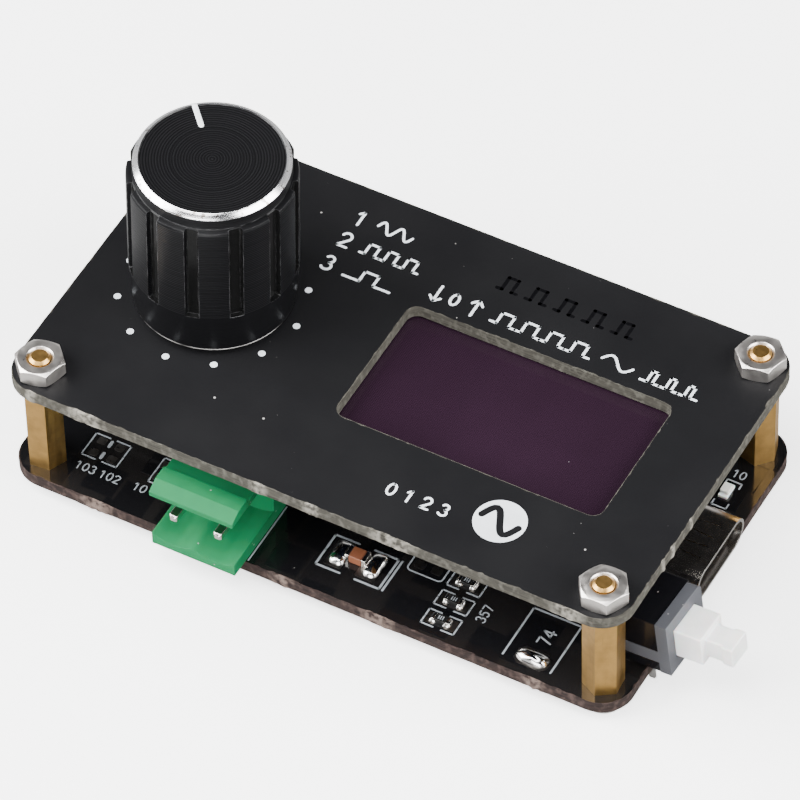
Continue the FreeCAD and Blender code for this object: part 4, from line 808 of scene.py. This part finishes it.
# %% Pointer
pointer_angle = math.radians(133.2)
pointer_half = 0.24 * MM
round_end = 0.3 * MM
runs = np.concatenate([np.linspace(3.75, 4.2, 8), np.linspace(4.5, 6.2, 6),
                       [6.33, 6.38, 6.6, 6.82, 6.87]]) * MM
surface_run = np.array([0.0, 6.20, 6.33, 6.38, 6.85, 6.9]) * MM
surface_height = np.array([16.73, 16.73, 16.82, 16.83, 16.49, 16.44]) * MM
to_end = np.clip(1 - (runs - runs[0]) / round_end, 0, 1)
halves = pointer_half * np.sqrt(np.clip(1 - to_end ** 2, 0.02, 1))
heights = np.interp(runs, surface_run, surface_height)
side = np.array([-1.0, -0.75, 0.75, 1.0, 1.0, -1.0])[None, :]
lift = np.array([-0.03, 0.0, 0.0, -0.03, -0.12, -0.12])[None, :] * MM
across = side * halves[:, None]
radius = np.sqrt(runs[:, None] ** 2 + across ** 2)
pointer_grid = on_knob(radius, pointer_angle + np.arctan2(across, runs[:, None]), heights[:, None] + lift)
pointer = new_piece("pointer_line", [(pointer_grid, ring_faces(len(runs), 6), 0)], [pointer_paint],
                    body="knob", sharp_deg=50.0)
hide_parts("knob_pointer")
print("pointer points:", pointer_grid.shape)

# %% [markdown]
# ## Printed marks
# White ink is silk-screened, so a mark is a thin line of even width with round ends. A stroke is
# a flat strip along a path of points, and a whole legend is many strokes in one mesh. Only
# numerals, arrows and wave shapes are printed. A pen is a line's width in millimetres and the
# height of the surface it prints on.

# %% Strokes
print_root = 0.02 * MM
ink_thickness = 0.012 * MM


def stroke(path, pen):
    """Rings of a flat strip along a path in millimetres from the boards' centre.

    Each path point gets a section across the local direction; three short sections at each end
    narrow as the cosine of the way into the round end.
    """
    width, base = pen
    path = np.asarray(path, dtype=float)
    steps = np.gradient(path, axis=0)
    steps /= np.linalg.norm(steps, axis=1)[:, None] + 1e-12
    half = width / 2
    turns = np.array([0.05, 0.5, 0.87])
    before = path[0] - steps[0] * (half * np.cos(np.arcsin(turns)))[:, None]
    after = path[-1] + steps[-1] * (half * np.cos(np.arcsin(turns[::-1])))[:, None]
    points = np.concatenate([before, path, after])
    directions = np.concatenate([np.repeat(steps[:1], 3, axis=0), steps, np.repeat(steps[-1:], 3, axis=0)])
    halves = np.concatenate([half * turns, np.full(len(path), half), half * turns[::-1]])[:, None]
    sides = np.stack([-directions[:, 1], directions[:, 0]], axis=1) * halves
    one_side, other_side = (points + sides) * MM + board_centre, (points - sides) * MM + board_centre
    low, high = base - print_root, base + ink_thickness
    rings = [at_height(flat, level) for flat, level in ((one_side, low), (one_side, high),
                                                        (other_side, high), (other_side, low))]
    return np.stack(rings, axis=1), ring_faces(len(points), 4), 0


def arc(x, y, radius_x, radius_y, first_deg, last_deg, count=12):
    """Points on an ellipse between two angles."""
    angle = np.radians(np.linspace(first_deg, last_deg, count))
    return np.stack([x + radius_x * np.cos(angle), y + radius_y * np.sin(angle)], axis=1)


def line(*corners, step=0.25):
    """Points along straight runs between corners, a step apart, so that bends stay crisp."""
    corners = np.asarray(corners, dtype=float)
    runs = [np.linspace(first, last, max(2, int(np.linalg.norm(last - first) / step)), endpoint=False)
            for first, last in zip(corners[:-1], corners[1:])]
    return np.concatenate(runs + [corners[-1:]])


def lines(pen, *ends):
    """Strokes of separate straight lines, each given by its two ends."""
    return [stroke(line(first, last), pen) for first, last in ends]


def polyline(pen, *corners):
    """Strokes of straight lines from corner to corner."""
    return lines(pen, *zip(corners[:-1], corners[1:]))


# Paths of the numerals that are printed, each one unit high.
numeral_paths = {
    "0": [arc(0.0, 0.5, 0.28, 0.5, 90, 450, 25)],
    "1": [line((-0.2, 0.78), (0.04, 1.0), step=0.1), line((0.04, 1.0), (0.04, 0.0), step=0.1)],
    "2": [np.concatenate([arc(0.0, 0.72, 0.27, 0.28, 165, -35, 14), [[-0.29, 0.0]]]),
          line((-0.29, 0.0), (0.3, 0.0))],
    "3": [arc(-0.02, 0.76, 0.24, 0.24, 150, -85, 12), arc(-0.02, 0.26, 0.29, 0.26, 85, -150, 14)],
    "4": [line((0.12, 0.0), (0.12, 1.0)), line((0.12, 1.0), (-0.3, 0.3)), line((-0.3, 0.3), (0.3, 0.3))],
    "5": [line((0.24, 1.0), (-0.2, 1.0)), line((-0.2, 1.0), (-0.23, 0.56)),
          arc(-0.02, 0.32, 0.28, 0.32, 128, -140, 14)],
    "7": [line((-0.28, 1.0), (0.28, 1.0)), line((0.28, 1.0), (-0.05, 0.0))],
}


def numerals(text, x, y, size, pen, turn_deg=0.0, spacing=0.82):
    """Strokes of a row of numerals whose lower left starts at x, y; size is their height."""
    turn = math.radians(turn_deg)
    turned_axes = np.array([[math.cos(turn), math.sin(turn)], [-math.sin(turn), math.cos(turn)]])
    made = []
    for place, letter in enumerate(text):
        for path in numeral_paths[letter]:
            shifted = (path + np.array([place * spacing + 0.3, 0.0])) * size
            made.append(stroke(shifted @ turned_axes + np.array([x, y]), pen))
    return made


def wave(x, y, length, height, cycles, kind, pen):
    """Strokes of a wave that starts at x, y; a 'pulse' is a 'square' wave that is up for less."""
    if kind == "sine":
        run = np.linspace(0.0, 1.0, 16 * cycles + 1)
        turns = 2 * math.pi * cycles * run
        return [stroke(np.stack([x + run * length, y + height / 2 * np.sin(turns)], axis=1), pen)]
    low, high = y - height / 2, y + height / 2
    made = []
    cell = length / cycles
    up_share = {"square": 0.5, "pulse": 0.3}[kind]
    for number in range(cycles):
        start = x + number * cell
        rise = start + cell * (1 - up_share) / 2
        fall = rise + cell * up_share
        made += polyline(pen, (start, low), (rise, low), (rise, high), (fall, high), (fall, low),
                         (start + cell, low))
    return made


def arrow(x, y, height, way, pen):
    """Arrow up (way 1) or down (way -1): a shaft and two barbs."""
    tip, tail = (x, y + way * height / 2), (x, y - way * height / 2)
    barb = height * 0.27
    return lines(pen, (tail, tip), *(((x + side * barb, tip[1] - way * barb), tip) for side in (-1, 1)))


def slab(outline, base, thickness):
    """Flat plate from an outline in millimetres: two rings and two caps."""
    flat = np.asarray(outline) * MM + board_centre
    rings = [at_height(flat, level) for level in (base - print_root, base + thickness)]
    return np.stack(rings), ring_faces(2, len(flat)), 0


def dot(x, y, radius, columns=24):
    """Flat round dot on the front panel."""
    return slab(arc(x, y, radius, radius, 0, 360 - 360 / columns, columns), panel_top, ink_thickness)


# %% Legends of the front panel
dial_x, dial_radius, dot_radius = -18.54, 8.32, 0.33
dots = [dot(dial_x + dial_radius * math.cos(turn), dial_radius * math.sin(turn), dot_radius)
        for turn in np.radians(np.arange(0, 360, 30))]
pen = (0.25, panel_top)
legend = []
for text, y, length, kind, cycles in (("1", 13.65, 3.4, "sine", 2), ("2", 10.8, 5.7, "square", 3),
                                      ("3", 7.74, 4.6, "pulse", 1)):
    legend += numerals(text, -11.85, y - 0.75, 1.6, pen) + wave(-9.6, y, length, 1.25, cycles, kind, pen)
legend += arrow(-1.2, 9.0, 1.9, -1, pen) + numerals("0", 0.1, 8.4, 1.25, pen) + arrow(2.5, 9.0, 1.9, 1, pen)
for x, length, cycles, kind in ((4.3, 9.6, 4, "square"), (14.9, 3.0, 1, "sine"), (18.9, 5.4, 3, "pulse")):
    legend += wave(x, 9.0, length, 1.3, cycles, kind, pen)
legend += numerals("0123", 5.6, -13.15, 1.25, (0.22, panel_top), spacing=1.35)
print("dots:", len(dots), "strokes:", len(legend))
new_piece("panel_print", dots + legend, [ink])

# %% A plain round badge with a wave through it
badge_x, badge_y, badge_radius = 15.8, -11.4, 2.35
new_piece("badge_print", [dot(badge_x, badge_y, badge_radius, columns=72)], [ink])
badge_pen = (0.62, panel_top + 0.01 * MM)
new_piece("badge_wave", wave(badge_x - 1.75, badge_y, 3.5, 2.5, 1, "sine", badge_pen), [panel_lacquer])

# %% A sunk, barely visible wave under the lacquer
faint = []
for number in range(5):
    faint += wave(3.0 + number * 2.8, 12.8, 1.9, 1.5, 1, "square", (0.34, panel_top))
new_piece("sunk_print", faint, [sunk_ink])

# %% [markdown]
# ## Printing and pads on the main board
# The assembly print says where each part goes: small boxes with gaps, a bracket round a lamp,
# numerals beside. Bare pads are tinned copper a hair above the lacquer; most look dark, because
# they mirror the dark room, and their colour is painted dark too: a painted dark reflection.

# %% Board print
box_pen, wide_pen, number_pen = (0.14, main_top), (0.2, main_top), (0.12, main_top)


def corner_boxes(x, y, half_x, half_y, gap, pen=box_pen):
    """Box whose long sides are open in the middle, as printed round a chip resistor."""
    made = []
    for side in (-1, 1):
        for end in (-1, 1):
            corner_x, corner_y = x + end * half_x, y + side * half_y
            made += polyline(pen, (x + end * gap / 2, corner_y), (corner_x, corner_y), (corner_x, y))
    return made


resistor_x, resistor_rows = 12.1, (-15.3, -12.95, -10.6)
first_x, first_rows, tick_half = -23.05, (-11.05, -12.5), 0.3
board_marks = corner_boxes(first_x, -11.8, 1.75, 1.35, 0.7) + corner_boxes(-16.55, -11.7, 1.5, 1.5, 0.7)
for y in first_rows:
    board_marks += lines((0.3, main_top), ((first_x, y - tick_half), (first_x, y + tick_half)))
for text, x, y in (("103", -24.6, -14.75), ("102", -22.2, -14.75), ("10", -18.9, -14.6)):
    board_marks += numerals(text, x, y, 0.85, number_pen)
board_marks += lines(box_pen, ((-5.9, -17.0), (-5.9, -10.2)))
board_marks += corner_boxes(2.5, -12.78, 3.1, 1.83, 1.5, wide_pen)
board_marks += lines(wide_pen, ((5.95, -14.6), (5.95, -10.95)))
bracket = [[[6.6, -9.0]], arc(7.0, -11.1, 0.4, 0.4, 180, 270, 6), arc(9.6, -11.1, 0.4, 0.4, 270, 360, 6),
           [[10.0, -9.0]]]
board_marks.append(stroke(np.concatenate(bracket), box_pen))
for row in resistor_rows:
    board_marks += corner_boxes(resistor_x, row, 1.58, 0.86, 0.8)
board_marks += numerals("357", 15.4, -13.8, 0.85, number_pen, turn_deg=90.0)
open_left, open_right, open_front, open_middle, open_back = 18.4, 23.0, -16.0, -13.125, -10.25
open_pen = (0.17, main_top)
board_marks += lines(open_pen, ((open_left, open_back), (open_right, open_back)))
for x in (open_left, open_right):
    board_marks += polyline(open_pen, (x, open_front), (x, open_middle), (x, open_back))
board_marks += numerals("74", 21.5, -13.5, 1.15, (0.16, main_top), turn_deg=90.0)
socket_left, socket_right, socket_y, socket_half, bend = 26.5, 27.9, 8.83, 1.58, 0.6
for side in (-1, 1):
    end, back_again = socket_y + side * socket_half, socket_y + side * (socket_half - bend)
    board_marks += polyline(box_pen, (socket_left, back_again), (socket_left, end), (socket_right, end),
                            (socket_right, back_again))
board_marks += numerals("10", 26.6, 10.9, 0.85, number_pen)
print("board strokes:", len(board_marks))
new_piece("board_print", board_marks, [dull_ink])


# %% Bare pads
def pad(x, y, half_x, half_y, corner=0.12):
    """Flat pad on the main board with cut corners."""
    corner = min(corner, half_x * 0.9, half_y * 0.9)
    outline = [(half_x, half_y - corner), (half_x - corner, half_y), (-half_x + corner, half_y),
               (-half_x, half_y - corner), (-half_x, -half_y + corner), (-half_x + corner, -half_y),
               (half_x - corner, -half_y), (half_x, -half_y + corner)]
    return slab(np.array(outline) + np.array([x, y]), main_top, 0.02 * MM)


pads = [pad(x, y, 0.42, 0.40) for x in (-23.9, -22.1) for y in first_rows]
pads += [pad(x, y, 0.42, 0.40) for x in (-17.6, -16.1) for y in (-10.9, -12.4)]
pads += [pad(x, -10.5, 0.5, 0.45) for x in (7.5, 9.1)]
pads += [pad(0.75, -12.7, 0.85, 1.55), pad(3.9, -12.7, 0.95, 1.55)]
pads += [pad(resistor_x + side * 0.95, row, 0.5, 0.62) for side in (-1, 1) for row in resistor_rows]
pads += [pad(20.95, -15.3, 1.6, 1.0, corner=0.5)]
new_piece("bare_pads", pads, [pad_painted_dark])
print("pads:", len(pads))

# %% [markdown]
# ## Solder
# Molten solder pulls itself into a smooth low dome that stops at the pad's edge, and cools with a
# few waves in it. Each blob is a polar height surface: a squarish outline, a rounded fall to the
# edge and a seeded wander round it, laid over the place of a solid of the model.

# %% Boxes of a node's separate solids
def solid_boxes(node_name):
    """Lowest and highest corners of each separate solid of a node."""
    work = bmesh.new()
    work.from_mesh(frame["nodes"][node_name].data)
    bmesh.ops.remove_doubles(work, verts=work.verts, dist=0.0005 * MM)
    left = set(work.verts)
    boxes = []
    while left:
        group, queue = set(), [left.pop()]
        while queue:
            vert = queue.pop()
            group.add(vert)
            beside = {edge.other_vert(vert) for edge in vert.link_edges} & left
            left -= beside
            queue.extend(beside)
        places = np.array([vert.co[:] for vert in group])
        boxes.append((places.min(axis=0), places.max(axis=0)))
    work.free()
    return sorted(boxes, key=lambda pair: tuple(np.round(pair[0], 6)))


def blob(low, high, seed, columns=36, rows=10):
    """Solder dome over a box: height x (1 - v squared)^0.55 over a squarish outline, both wandering."""
    angle = np.linspace(0, 2 * math.pi, columns, endpoint=False)[None, :]
    share = np.linspace(0.0, 1.0, rows)[:, None]
    outline = (np.abs(np.cos(angle)) ** 4 + np.abs(np.sin(angle)) ** 4) ** -0.25
    outline = outline * (1 + 0.08 * wander(1.0, columns, 0.12, seed)[None, :])
    centre, half = (low + high) / 2, (high - low) / 2
    ripple = 1 + 0.22 * wander(1.0, columns, 0.12, seed + 1)[None, :] * share * (1.2 - share)
    height = (high[2] - low[2]) * (1 - share ** 2) ** 0.55 * ripple
    top = np.stack([centre[0] + half[0] * share * outline * np.cos(angle),
                    centre[1] + half[1] * share * outline * np.sin(angle), low[2] + height], axis=-1)
    skirt = top[-1:].copy()
    skirt[..., 2] = low[2] - 0.02 * MM
    faces = ring_faces(rows + 1, columns, caps=False)
    faces.append(list(range(rows * columns, (rows + 1) * columns)))
    return np.concatenate([top, skirt]), faces, 0


mounds = [blob(low, high, 10 + number) for number, (low, high) in enumerate(solid_boxes("solder_mounds"))]
solder = new_piece("solder_blobs", mounds, [mirror_tin], sharp_deg=60.0)
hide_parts("solder_mounds")
grow = np.array([0.22, 0.12, 0.0]) * MM
chip_ends = solid_boxes("resistor_ends") + solid_boxes("capacitor_ends")
chip_joints = [blob(low - grow, np.append(high[:2], low[2] + 0.34 * MM) + grow, 40 + number, 16, 6)
               for number, (low, high) in enumerate(chip_ends)]
new_piece("chip_solder", chip_joints, [mirror_tin], sharp_deg=60.0)
print("blobs:", len(mounds), len(chip_joints))

# %% Value bars on the chip resistors
bar_width, bar_half, bar_pitch = 0.08, 0.17, 0.2
bars = []
for low, high in solid_boxes("resistor_bodies"):
    x, y = ((low + high)[:2] / 2 - board_centre) / MM
    for aside in (-bar_pitch, 0.0, bar_pitch):
        bars += lines((bar_width, high[2]), ((x + aside, y - bar_half), (x + aside, y + bar_half)))
new_piece("value_bars", bars, [dull_ink])

# %% [markdown]
# ## Parts whose shape is right but whose edges are too sharp
# Nothing real has a perfect edge. Moulded, turned and stamped parts get a copy of their own mesh
# with the facets joined and a small bevel, so that each edge catches a line of light.

# %% Rounded copies: node, bevel in millimetres, finish, slot
soft_parts = [
    ("probe_header", 0.20, green_plastic, "header_green"),
    ("probe_pins", 0.09, tin, "tinned_pin"),
    ("panel_nuts", 0.07, nickel, "nickel_plate"),
    ("switch_housing", 0.10, glossy_black, "switch_black"),
    ("switch_cap", 0.14, grey_plastic, "switch_grey"),
    ("switch_plunger", 0.22, white_plastic, "switch_white"),
    ("usb_shell", 0.08, socket_steel, "socket_steel"),
    ("resistor_bodies", 0.05, glaze, "resistor_black"),
    ("resistor_ends", 0.06, tin, "tinned_pin"),
    ("input_capacitor", 0.08, ceramic, "capacitor_brown"),
    ("input_capacitor_ends", 0.08, tin, "tinned_pin"),
    ("lamp_lens", 0.09, lamp_resin, "lamp_clear"),
    ("microcontroller", 0.06, epoxy, "chip_black"),
    ("amplifiers", 0.06, epoxy, "chip_black"),
    ("inductor", 0.15, ferrite, "ferrite_grey"),
]
for node_name, width, finish, slot in soft_parts:
    made = merged_copy(node_name, finish, "plunger" if node_name == "switch_plunger" else "chassis")
    bevel = made.modifiers.new("rounded edges", "BEVEL")
    bevel.width = width * MM
    bevel.segments = 3
    bevel.limit_method = "ANGLE"
    bevel.angle_limit = math.radians(30.0)
    bevel.harden_normals = True
    bevel.use_clamp_overlap = True
    print(made.name, len(made.data.polygons))

# %% [markdown]
# ## The button's spring
# The spring lies between the housing's back and the plunger. When the button is pressed it must
# get shorter instead of being run through; here its copy is only merged and given a mesh of its own.

# %% Spring: a merged copy with a mesh of its own
spring = merged_copy("switch_spring", steel, sharp_deg=60.0)
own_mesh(spring)
